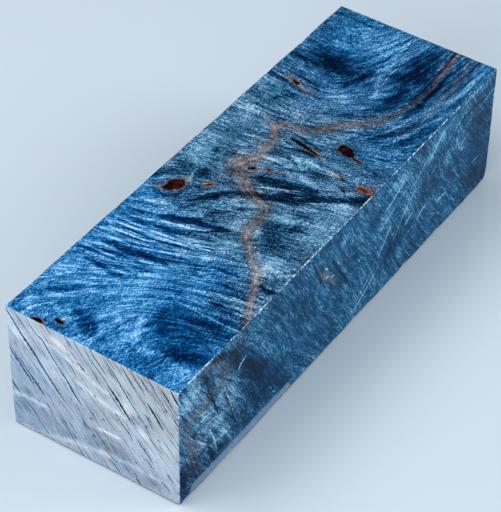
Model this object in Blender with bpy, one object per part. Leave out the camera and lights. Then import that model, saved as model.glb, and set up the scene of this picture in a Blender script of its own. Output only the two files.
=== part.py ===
"""A stabilized burl block: one sawn and sanded piece of dyed, resin-filled burl.

The block lies on its flat underside. Its length runs along X, its width along Y, and +Z is up.
The near end is at -X, the front long side is at -Y, and the origin is in the middle of the underside.
Everything is in metres.
"""

import math
from dataclasses import dataclass

import bmesh
import bpy
from mathutils import Vector

MM = 0.001

# Driving dimensions of the block
LENGTH = 135.0 * MM
WIDTH = 45.0 * MM
HEIGHT = 34.6 * MM  # in the middle of the sanded top
RISE_ALONG = 0.7 * MM  # how much higher the top is at the far end than at the near end
RISE_ACROSS = 1.2 * MM  # how much higher the top is at the back than at the front
HALF = Vector((LENGTH / 2, WIDTH / 2, HEIGHT / 2))

# The lip that the saw left along the bottom of the front side
LIP_DEPTH = 0.15 * MM
LIP_START = -63.0 * MM
LIP_END = -25.0 * MM
LIP_FOOT = 1.4 * MM
LIP_TOP = 3.3 * MM
LIP_MIDDLE = 2.1 * MM
LIP_FADE = 1.5 * MM
FRONT_REACH = 2.0 * MM  # how far behind the front side its own unevenness fades out

# The grid that the faces are cut into, so that the arrises can be worn unevenly
STATION = 3.0 * MM
ARRIS_LINES = (0.35 * MM, 0.8 * MM, 1.5 * MM)
ARRIS_REACH = 1.2 * MM
GRID_SNAP = 0.001 * MM
RIPPLE_LONG = 18.2 * MM  # the two wavelengths of an arris's uneven wear
RIPPLE_SHORT = 8.2 * MM
RIPPLE_SHORT_SHARE = 0.6
FAR_WEIGHT = 1e-9  # keeps the weights above zero in the middle of a face

# The saw scores on the two ends
SCORE_DEPTH = 0.22 * MM
SCORE_OUTSIDE = 0.5 * MM
SCORE_OVERRUN = 0.02  # the share of its length by which a score's outline passes its tips
SCORE_KEEL = 0.25  # the share of a score's length, from either tip, where its keel is level
FAR_END_TURN = 0.85  # the far end's scores are the near end's, closed up by this and turned over

# The drying crack near the top of the front side
CRACK_START = (50.0 * MM, 29.6 * MM)
CRACK_END = (62.0 * MM, 28.6 * MM)
CRACK_WIDTH = 0.5 * MM
CRACK_DEPTH = 0.5 * MM

COLOUR = (0.012, 0.095, 0.21, 1.0)
ROUGHNESS = 0.32


@dataclass(frozen=True)
class Arris:
    """One edge of the block, with the radius that it is worn to and where it is chipped."""

    along: int  # the axis that it runs along
    side: tuple  # the signs of the other two axes, in axis order
    radius: float
    wave: float  # how much the radius swells and shrinks, as a share of it
    chips: tuple = ()  # each one the place along the edge, its half length and its depth


ARRISES = (
    Arris(0, (-1, -1), 0.95 * MM, 0.25, (
        (-52 * MM, 3 * MM, 0.25 * MM), (27 * MM, 3 * MM, 0.35 * MM), (38 * MM, 2.5 * MM, 0.3 * MM),
        (51 * MM, 4 * MM, 0.3 * MM), (67 * MM, 5 * MM, 0.8 * MM),
    )),
    Arris(0, (-1, 1), 0.35 * MM, 0.3, (
        (-67 * MM, 4 * MM, 0.55 * MM), (-34 * MM, 3 * MM, 0.15 * MM), (-9 * MM, 3 * MM, 0.2 * MM),
        (31 * MM, 3 * MM, 0.15 * MM),
    )),
    Arris(0, (1, -1), 0.8 * MM, 0.3, ((-20 * MM, 3 * MM, 0.3 * MM), (34 * MM, 4 * MM, 0.35 * MM))),
    Arris(0, (1, 1), 0.35 * MM, 0.3, ((12 * MM, 3 * MM, 0.2 * MM), (48 * MM, 4 * MM, 0.25 * MM))),
    Arris(1, (-1, -1), 0.75 * MM, 0.2, ((14 * MM, 3 * MM, 0.2 * MM),)),
    Arris(1, (-1, 1), 0.3 * MM, 0.25, ((-6 * MM, 3 * MM, 0.12 * MM),)),
    Arris(1, (1, -1), 0.8 * MM, 0.3, ((-22 * MM, 4 * MM, 0.7 * MM), (5 * MM, 3 * MM, 0.3 * MM))),
    Arris(1, (1, 1), 0.35 * MM, 0.3, ((9 * MM, 3 * MM, 0.2 * MM),)),
    Arris(2, (-1, -1), 0.45 * MM, 0.25, ((-8 * MM, 3 * MM, 0.15 * MM), (15 * MM, 2 * MM, 0.35 * MM))),
    Arris(2, (-1, 1), 0.4 * MM, 0.25, ((4 * MM, 3 * MM, 0.15 * MM),)),
    Arris(2, (1, -1), 0.5 * MM, 0.3, ((-17 * MM, 4 * MM, 0.8 * MM), (9 * MM, 3 * MM, 0.2 * MM))),
    Arris(2, (1, 1), 0.5 * MM, 0.3, ((-5 * MM, 3 * MM, 0.25 * MM),)),
)


@dataclass(frozen=True)
class Score:
    """A tapering groove that the saw left on an end, from (y, z) to (y, z) and this wide in its middle."""

    start: tuple
    end: tuple
    width: float


SCORES = (
    Score((22.0 * MM, 22.5 * MM), (16.5 * MM, 15.5 * MM), 0.45 * MM),
    Score((21.8 * MM, 12.6 * MM), (14.0 * MM, 4.5 * MM), 0.4 * MM),
    Score((18.0 * MM, 19.0 * MM), (13.5 * MM, 14.0 * MM), 0.35 * MM),
    Score((19.0 * MM, 31.0 * MM), (8.0 * MM, 15.0 * MM), 0.55 * MM),
    Score((16.8 * MM, 33.8 * MM), (9.3 * MM, 24.3 * MM), 0.5 * MM),
    Score((8.4 * MM, 23.2 * MM), (0.4 * MM, 14.2 * MM), 0.35 * MM),
    Score((11.2 * MM, 33.6 * MM), (5.6 * MM, 26.6 * MM), 0.3 * MM),
    Score((4.2 * MM, 33.4 * MM), (-0.6 * MM, 26.4 * MM), 0.55 * MM),
    Score((0.6 * MM, 33.2 * MM), (-2.6 * MM, 28.6 * MM), 0.4 * MM),
    Score((-4.0 * MM, 33.0 * MM), (-7.4 * MM, 28.2 * MM), 0.35 * MM),
    Score((-4.8 * MM, 26.2 * MM), (-11.6 * MM, 17.0 * MM), 0.3 * MM),
    Score((-8.0 * MM, 33.0 * MM), (-13.2 * MM, 25.8 * MM), 0.35 * MM),
    Score((-11.2 * MM, 32.9 * MM), (-18.0 * MM, 22.6 * MM), 0.45 * MM),
    Score((-14.4 * MM, 32.8 * MM), (-21.2 * MM, 21.2 * MM), 0.5 * MM),
    Score((-19.0 * MM, 32.7 * MM), (-21.6 * MM, 27.0 * MM), 0.55 * MM),
    Score((3.0 * MM, 12.4 * MM), (-3.6 * MM, 4.4 * MM), 0.25 * MM),
    Score((-12.6 * MM, 9.2 * MM), (-17.4 * MM, 3.4 * MM), 0.3 * MM),
    Score((19.6 * MM, 8.2 * MM), (16.4 * MM, 4.8 * MM), 0.3 * MM),
)


def clear_scene():
    """Removes whatever objects the file opened with."""
    for thing in list(bpy.data.objects):
        bpy.data.objects.remove(thing, do_unlink=True)


def ripple(place, number):
    """Two waves along an arris, between -1 and 1, that start differently on each numbered arris."""
    long_wave = math.sin(math.tau * place / RIPPLE_LONG + number)
    short_wave = math.sin(math.tau * place / RIPPLE_SHORT + 2 * number)
    return (long_wave + RIPPLE_SHORT_SHARE * short_wave) / (1 + RIPPLE_SHORT_SHARE)


def worn_radius(point):
    """The arris radius at a point given from the block's middle: each edge's own, weighed by how near it is."""
    total = weights = 0.0
    for number, arris in enumerate(ARRISES):
        others = [axis for axis in range(3) if axis != arris.along]
        gaps = [abs(point[axis] - sign * HALF[axis]) for axis, sign in zip(others, arris.side)]
        weight = math.exp(-((max(gaps) / ARRIS_REACH) ** 2)) + FAR_WEIGHT
        place = point[arris.along]
        radius = arris.radius * (1 + arris.wave * ripple(place, number))
        for middle, half_length, depth in arris.chips:
            radius += depth * math.exp(-(((place - middle) / half_length) ** 2))
        total += weight * radius
        weights += weight
    return total / weights


def worn(point):
    """A point of the square block's surface, moved to the worn block: its arrises become uneven rounds."""
    radius = worn_radius(point)
    core = Vector([max(radius - h, min(h - radius, p)) for p, h in zip(point, HALF)])
    outward = point - core
    return core + outward * (radius / outward.length)


def smooth_step(value, low, high):
    """0 below low, 1 above high, and a smooth rise between."""
    share = max(0.0, min(1.0, (value - low) / (high - low)))
    return share * share * (3 - 2 * share)


def front_inset(point):
    """How far the front side lies behind its lip at this point, fading out behind the front."""
    height = point.z + HALF.z
    on_lip = 1 - max(0.0, min(1.0, (height - LIP_FOOT) / (LIP_TOP - LIP_FOOT)))
    on_lip *= smooth_step(point.x, LIP_START - LIP_FADE, LIP_START + LIP_FADE)
    on_lip *= 1 - smooth_step(point.x, LIP_END - LIP_FADE, LIP_END + LIP_FADE)
    fade = max(0.0, 1 - (point.y + HALF.y) / FRONT_REACH)
    return LIP_DEPTH * (1 - on_lip) * fade


def top_share(point):
    """How much taller the block is here than in its middle, as a share of its height."""
    return (RISE_ALONG * point.x / LENGTH + RISE_ACROSS * point.y / WIDTH) / HEIGHT


def cut_lines(axis):
    """Where the grid's planes cross an axis, measured from the block's middle."""
    reach = HALF[axis]
    lines = [sign * (reach - line) for sign in (-1, 1) for line in ARRIS_LINES]
    inner = reach - ARRIS_LINES[-1]
    count = round(2 * inner / STATION)
    lines += [-inner + 2 * inner * step / count for step in range(1, count)]
    if axis == 2:
        lines += [LIP_MIDDLE - reach, LIP_TOP - reach]
    return sorted(set(lines))


def block_mesh():
    """The whole block: a cube cut into a grid, with worn arrises, the lip and the tapering top."""
    bm = bmesh.new()
    bmesh.ops.create_cube(bm, size=1.0)
    bmesh.ops.scale(bm, vec=2 * HALF, verts=bm.verts)
    for axis in range(3):
        normal = Vector([1.0 if axis == other else 0.0 for other in range(3)])
        for line in cut_lines(axis):
            everything = bm.verts[:] + bm.edges[:] + bm.faces[:]
            bmesh.ops.bisect_plane(bm, geom=everything, dist=GRID_SNAP, plane_co=normal * line, plane_no=normal)
    for vert in bm.verts:
        square = vert.co.copy()
        moved = worn(square)
        moved.y += front_inset(square)
        height = (moved.z + HALF.z) * (1 + top_share(moved))
        vert.co = (moved.x, moved.y, height)
    bmesh.ops.recalc_face_normals(bm, faces=bm.faces)
    return mesh_from(bm, "burl_block")


def mesh_from(bm, name):
    """Turns a bmesh into a named mesh and frees it."""
    mesh = bpy.data.meshes.new(name)
    bm.to_mesh(mesh)
    bm.free()
    return mesh


def add_groove(bm, start, end, width, depth, outward):
    """Adds one boat-shaped cutter: a keel inside the block, and a spindle outline that stands outside it."""
    run = end - start
    across = run.cross(outward).normalized() * width
    middle = (start + end) / 2
    outside = outward * SCORE_OUTSIDE
    spread = 1 + SCORE_OUTSIDE / depth  # keeps the walls straight from the keel out past the face
    tips = [start - run * SCORE_OVERRUN, end + run * SCORE_OVERRUN]
    flanks = [middle + across / 2 * spread, middle - across / 2 * spread]
    keel = [start + run * SCORE_KEEL - outward * depth, end - run * SCORE_KEEL - outward * depth]
    points = [bm.verts.new(place) for place in [spot + outside for spot in tips + flanks] + keel]
    bmesh.ops.convex_hull(bm, input=points)


def end_place(y, z, x, turn):
    """A point on an end of the block. The far end's marks are turned over and closed up by the turn."""
    return Vector((x, y, z)) if turn is None else Vector((x, -y * turn, HEIGHT / 2 + (HEIGHT / 2 - z) * turn))


def groove_cutters():
    """All the saw scores of both ends and the crack of the front side, as one object of closed pieces."""
    bm = bmesh.new()
    for x, outward, turn in ((-HALF.x, Vector((-1, 0, 0)), None), (HALF.x, Vector((1, 0, 0)), FAR_END_TURN)):
        for score in SCORES:
            start = end_place(*score.start, x, turn)
            end = end_place(*score.end, x, turn)
            add_groove(bm, start, end, score.width, SCORE_DEPTH, outward)
    front = -HALF.y + LIP_DEPTH
    start = Vector((CRACK_START[0], front, CRACK_START[1]))
    end = Vector((CRACK_END[0], front, CRACK_END[1]))
    add_groove(bm, start, end, CRACK_WIDTH, CRACK_DEPTH, Vector((0, -1, 0)))
    bmesh.ops.recalc_face_normals(bm, faces=bm.faces)
    cutter = bpy.data.objects.new("score_cutters", mesh_from(bm, "score_cutters"))
    cutter.hide_render = True
    cutter.display_type = "WIRE"
    return cutter


def burl_material():
    """Deep blue dyed wood with the satin shine of sanded resin."""
    material = bpy.data.materials.new("burl_wood")
    material.use_nodes = True
    shader = material.node_tree.nodes["Principled BSDF"]
    shader.inputs["Base Color"].default_value = COLOUR
    shader.inputs["Roughness"].default_value = ROUGHNESS
    shader.inputs["Metallic"].default_value = 0.0
    return material


def main():
    """Builds the block and cuts the saw's grooves into it."""
    clear_scene()
    block = bpy.data.objects.new("burl_block", block_mesh())
    block.data.materials.append(burl_material())
    cutter = groove_cutters()
    for thing in (block, cutter):
        bpy.context.scene.collection.objects.link(thing)
    cut = block.modifiers.new("saw_scores", "BOOLEAN")
    cut.operation = "DIFFERENCE"
    cut.solver = "EXACT"
    cut.object = cutter


main()
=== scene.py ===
"""The looks of a stabilized burl block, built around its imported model.

The block is one piece of blue dyed, resin-filled burl. Its top is sanded and shows the figure, its
long sides are glossy saw cuts, and its ends are pale, hazy and scored by the saw.

Places in the tables are millimetres in the block's own frame: x along the length, y across the
width, z up from the underside. Meshes are written in metres.
"""

import logging
import math
from dataclasses import dataclass, field
from enum import Enum

import bpy
import numpy as np
from mathutils import Matrix, Vector


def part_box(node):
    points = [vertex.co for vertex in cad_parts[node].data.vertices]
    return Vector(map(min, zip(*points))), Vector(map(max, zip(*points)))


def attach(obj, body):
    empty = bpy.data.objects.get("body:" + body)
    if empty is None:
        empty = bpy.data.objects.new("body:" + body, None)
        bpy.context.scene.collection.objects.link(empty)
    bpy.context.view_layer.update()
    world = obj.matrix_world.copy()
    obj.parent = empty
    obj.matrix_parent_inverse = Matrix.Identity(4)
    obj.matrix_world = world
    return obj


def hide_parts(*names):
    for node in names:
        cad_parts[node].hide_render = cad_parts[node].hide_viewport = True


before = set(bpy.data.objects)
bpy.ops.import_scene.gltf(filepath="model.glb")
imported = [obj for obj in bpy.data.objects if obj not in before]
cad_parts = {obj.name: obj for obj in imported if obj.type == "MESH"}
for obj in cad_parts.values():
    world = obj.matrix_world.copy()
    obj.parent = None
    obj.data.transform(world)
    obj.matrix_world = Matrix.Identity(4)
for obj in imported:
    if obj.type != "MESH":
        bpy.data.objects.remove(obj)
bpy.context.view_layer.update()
CAD_NODE = "burl_block"
MM = 0.001
SEED = 20
# Stretches that each span of a route is cut into: for drawing, for keeping lines apart, and in a score.
STEPS = 4
APART_STEPS = 6
SCORE_STEPS = 5
# A band whose half width stays this small is drawn as a stroke. A stroke fades between two distances
# from its middle line, and over TIP_FADE beyond its tips.
THIN = 0.5
SIDE_FADE = (0.55, 0.9)
TIP_FADE = 0.5
# A weight that counts only where no other does, and the least squared length of a stretch.
FAINT = 1e-9
TINY = 1e-12

log = logging.getLogger("burl_block")


class Face(Enum):
    """The six faces: the axis that each faces along, and towards which end of it."""

    TOP = (2, 1)
    UNDERSIDE = (2, -1)
    FRONT = (1, -1)
    BACK = (1, 1)
    NEAR_END = (0, -1)
    FAR_END = (0, 1)

    @property
    def plane_axes(self) -> tuple[int, int]:
        """The two axes that lie in the face, in axis order."""
        return tuple(axis for axis in range(3) if axis != self.value[0])

    @property
    def turned(self) -> bool:
        """Whether a polygon that runs anticlockwise in the plane's axes faces into the block."""
        normal_axis, sign = self.value
        return (sign > 0) == (normal_axis == 1)


@dataclass(frozen=True)
class Arris:
    """One edge of the block: how it is worn and chipped, and the light and shade painted on it.

    side holds the signs of the other two axes, in axis order. Each chip is a place along the edge
    from the block's middle, a half length and a depth. The number after the wave paints light on
    the edge: above zero a painted highlight, a whitish line, and below zero a painted shade, a dark
    line, mostly along the bottom edges. reach is how far it shows.
    """

    along: int
    side: tuple[int, int]
    radius: float
    wave: float
    glint: float
    reach: float = 0.35
    chips: tuple[tuple[float, float, float], ...] = ()


# The number after each arris's wave is its painted light: above zero a whitish painted highlight, below zero
# a dark painted shade, mostly along the bottom edges.
ARRISES = (
    Arris(0, (-1, -1), 0.75, 0.25, -0.9, 0.7, (
        (-52, 3, 0.25), (27, 3, 0.35), (38, 2.5, 0.3), (51, 4, 0.3), (67, 4, 0.5),
    )),
    Arris(0, (-1, 1), 0.35, 0.3, 1.0, 0.26, ((-67, 4, 0.55), (-34, 3, 0.15), (-9, 3, 0.2), (31, 3, 0.15))),
    Arris(0, (1, -1), 0.8, 0.3, -0.5, 0.6, ((-20, 3, 0.3), (34, 4, 0.35))),
    Arris(0, (1, 1), 0.28, 0.25, 0.2, 0.22, ((12, 3, 0.12), (48, 4, 0.12))),
    Arris(1, (-1, -1), 0.5, 0.2, -1.0, 0.5, ((14, 3, 0.2),)),
    Arris(1, (-1, 1), 0.3, 0.25, 0.3, 0.18, ((-6, 3, 0.12),)),
    Arris(1, (1, -1), 0.8, 0.3, -0.5, 0.6, ((-22, 4, 0.7), (5, 3, 0.3))),
    Arris(1, (1, 1), 0.3, 0.25, 0.2, 0.22, ((9, 3, 0.12),)),
    Arris(2, (-1, -1), 0.45, 0.25, 0.45, 0.4, ((-8, 3, 0.15), (15, 2, 0.35))),
    Arris(2, (-1, 1), 0.4, 0.25, 0.1, 0.3, ((4, 3, 0.15),)),
    Arris(2, (1, -1), 0.32, 0.25, -0.2, 0.3, ((-17, 3, 0.4), (9, 3, 0.12))),
    Arris(2, (1, 1), 0.5, 0.3, 0.1, 0.3, ((-5, 3, 0.25),)),
)


def cut(numbers: tuple[float, ...], size: int) -> tuple[tuple[float, ...], ...]:
    """A flat row of numbers, cut into points of this many numbers each."""
    return tuple(zip(*(numbers[part::size] for part in range(size))))


@dataclass(frozen=True)
class Score:
    """A groove that the saw left on an end, along points (y, z), with its width and its depth."""

    points: tuple[tuple[float, float], ...]
    width: float
    depth: float


def scores(*rows: tuple[float, ...]) -> tuple[Score, ...]:
    """Scores from rows of a width, a depth and then the points."""
    return tuple(Score(cut(row[2:], 2), *row[:2]) for row in rows)


SCORES = scores(
    (0.6, 0.26, 22.7, 23.6, 19.6, 19.4, 16.2, 15.3), (0.55, 0.24, 18, 19, 15.4, 15.9, 13.3, 13.5),
    (0.65, 0.26, 22.4, 34.2, 20.2, 31, 18.5, 28.6, 15.5, 25, 13.5, 22, 10.2, 17.7, 7.9, 15),
    (0.5, 0.22, 17.1, 34.6, 15, 31.3, 12.8, 29.9, 11.8, 28.2, 10.3, 26, 8.3, 23.4),
    (0.58, 0.24, 8.9, 24.2, 6.4, 20.9, 5, 18.5, 3.2, 16.4), (0.32, 0.16, 11.8, 34.6, 10.1, 32.4),
    (0.4, 0.18, 6.9, 34.5, 5, 31.9), (0.35, 0.14, 7, 31.9, 5.9, 30.6), (0.6, 0.2, 3.5, 28.5, 1.8, 27.1),
    (0.32, 0.14, 4.3, 34.2, 2.6, 31.6, 0.7, 29.1), (0.36, 0.16, 1.8, 34.4, 0.1, 31.6, -2, 29, -4.4, 26.5),
    (0.42, 0.18, 0.1, 34.3, -1.6, 31.8, -3.8, 29.4),
    (0.42, 0.2, -3, 34.4, -6, 30.6, -8.2, 27.3, -10.2, 24.4, -13.2, 20.8),
    (0.7, 0.26, -4.3, 26.3, -6.2, 24, -8, 21.5, -9.9, 18.9), (0.36, 0.18, -4, 25.2, -6, 22.5, -8.4, 19.7),
    (0.42, 0.18, -6.6, 17.9, -8.2, 16, -9.3, 15, -10.1, 13.4),
    (0.36, 0.16, -10, 34, -11.8, 31.8, -13.6, 29.4), (0.46, 0.18, -12.8, 33.6, -14.7, 30.7),
    (0.6, 0.26, -14.4, 27, -16, 24.8, -18.2, 21.5), (0.52, 0.24, -18.1, 33.2, -20.7, 29.6),
    (0.62, 0.26, -20.5, 34, -22.6, 30.7), (0.52, 0.22, -20.7, 26.9, -22.7, 24.2),
    (0.36, 0.16, -21.4, 24.6, -22.6, 22.9), (0.62, 0.24, 22.7, 13.3, 19.9, 10.1),
    (0.4, 0.16, 19.5, 9.1, 17, 7.2, 15.1, 5.1), (0.28, 0.12, 2.1, 22.1, -1, 18.5, -3.5, 16, -6.2, 13.3),
    (0.36, 0.14, 5.9, 27.1, 4.4, 24.9), (0.3, 0.12, 9.6, 25.3, 8.1, 22.9),
    (0.28, 0.12, 22.5, 29.5, 20.9, 27.1, 19.8, 25), (0.34, 0.14, 20.4, 34.4, 17.4, 30.8),
    (0.24, 0.1, -8.2, 33.6, -10.2, 30.6, -11.4, 28.6), (0.4, 0.18, -3.6, 3.8, -5.2, 2.4, -6.7, 1),
    (0.5, 0.2, -10.9, 1.9, -12.3, 0.2), (0.42, 0.18, -17.6, 4.9, -19.6, 3.2),
    (0.38, 0.14, -13.6, 9.6, -15.4, 7.5), (0.22, 0.08, 16.8, 7.5, 13.2, 3.8, 9.8, 0.3),
    (0.32, 0.12, 22.6, 4.6, 19.3, 1.5), (0.22, 0.08, 3.2, 12.4, 0.2, 8.6, -3.2, 4.8),
    (0.22, 0.08, 12.4, 12.6, 8.6, 8.8), (0.32, 0.12, -15.2, 31.2, -17.2, 28.9, -19.6, 26.4),
    (0.24, 0.09, -7.5, 34.2, -11.4, 28.8, -15, 24), (0.22, 0.07, 4.3, 34, 0, 29.4, -4.6, 24.8),
    (0.26, 0.09, -9.9, 18.9, -11.4, 17, -16, 12.5), (0.26, 0.09, 19.8, 34.3, 16, 29.2, 14, 26.5),
    (0.28, 0.1, -1, 24.3, -3.3, 21.7), (0.26, 0.09, 8, 15, 5, 12.5),
    (0.24, 0.08, -13.3, 9.8, -16, 7, -19, 4.5), (0.22, 0.07, 7.5, 9, 3, 4.5),
    (0.24, 0.08, 10.5, 10, 7.6, 6.6, 5, 3.5), (0.22, 0.07, 15.8, 13, 12.6, 9.6, 10.4, 6.6),
    (0.22, 0.07, 20.6, 12, 17.4, 8, 14.6, 5.4), (0.3, 0.12, -16.6, 34.2, -19.4, 30.6, -21.8, 27.8),
)

# Pores of the ends, each a place (y, z) and a radius.
PORES = (
    (-19.1, 27.7, 0.42), (-13.9, 19.8, 0.4), (-6.2, 18.7, 0.3), (-2.7, 15.3, 0.42), (0.7, 13.6, 0.38),
    (0.2, 8.6, 0.42), (-12.4, 12.9, 0.25), (5.8, 16.4, 0.3), (2.6, 11.2, 0.28), (-11, 7, 0.28),
    (-17, 17.4, 0.25), (7.7, 8.3, 0.28), (11.4, 8.4, 0.22), (-0.6, 21.1, 0.32), (-7.9, 33, 0.2),
    (14.6, 16.2, 0.2), (-16.5, 10.4, 0.22), (5.1, 4.9, 0.24), (-20.7, 15, 0.22), (17.2, 12.2, 0.2),
    (-3, 9, 0.22), (9.2, 13.4, 0.2),
)


@dataclass(frozen=True)
class Patch:
    """A soft oval of lighter or darker wood: its middle, two radii, tone and slant in degrees."""

    middle: tuple[float, float]
    radii: tuple[float, float]
    tone: float
    slant: float = 0.0


@dataclass(frozen=True)
class Band:
    """A stretch of lighter or darker wood: its tone, and points with the band's half width there."""

    tone: float
    points: tuple[tuple[float, float, float], ...]

    @property
    def thin(self) -> bool:
        """Whether the band is too thin for the mesh to hold, so that it is drawn as a stroke."""
        return max(half for _, _, half in self.points) <= THIN

    @property
    def strength(self) -> float:
        """The tone, as a line names it."""
        return self.tone

    def route(self, steps: int) -> np.ndarray:
        """The smooth route with its half widths."""
        return catmull_rom(np.array(self.points, float), steps)


@dataclass(frozen=True)
class Vein:
    """A brown vein along points of a face, each with the vein's half width and paleness there."""

    points: tuple[tuple[float, float, float, float], ...]
    strength: float


@dataclass(frozen=True)
class Line:
    """A fine line along points of a face, lighter or darker than the wood by its strength."""

    points: tuple[tuple[float, float], ...]
    width: float
    strength: float
    tip: float = 0.5

    def route(self, steps: int) -> np.ndarray:
        """The smooth route with its half widths, which fall to a share of the middle's at both tips."""
        places = catmull_rom(np.array(self.points, float), steps)
        share = np.sin(math.pi * np.linspace(0, 1, len(places))) ** 0.7
        return np.column_stack([places, self.width / 2 * (self.tip + (1 - self.tip) * share)])


@dataclass(frozen=True)
class Pocket:
    """A pocket of bark in the top: its outline's points, how orange it is, and how broad its tan rim."""

    outline: tuple[tuple[float, float], ...]
    ember: float
    rim: float


@dataclass(frozen=True)
class Figure:
    """All that is drawn on one face."""

    patches: tuple[Patch, ...] = ()
    bands: tuple[Band, ...] = ()
    veins: tuple[Vein, ...] = ()


def patches(*rows: tuple[float, ...]) -> tuple[Patch, ...]:
    """Patches from rows of a middle, two radii, a tone and, where it isn't 0, a slant."""
    return tuple(Patch(row[:2], row[2:4], *row[4:]) for row in rows)


def bands(*rows: tuple[float, ...]) -> tuple[Band, ...]:
    """Bands from rows of a tone and then the points."""
    return tuple(Band(row[0], cut(row[1:], 3)) for row in rows)


def veins(*rows: tuple[float, ...]) -> tuple[Vein, ...]:
    """Veins from rows of a strength and then the points."""
    return tuple(Vein(cut(row[1:], 4), row[0]) for row in rows)


def fine_lines(*rows: tuple[float, ...]) -> tuple[Line, ...]:
    """Fine lines from rows of a width, a strength and then the points."""
    return tuple(Line(cut(row[2:], 2), *row[:2]) for row in rows)


def pockets(*rows: tuple[float, ...]) -> tuple[Pocket, ...]:
    """Pockets from rows of an ember, a rim and then the outline."""
    return tuple(Pocket(cut(row[2:], 2), *row[:2]) for row in rows)


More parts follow.
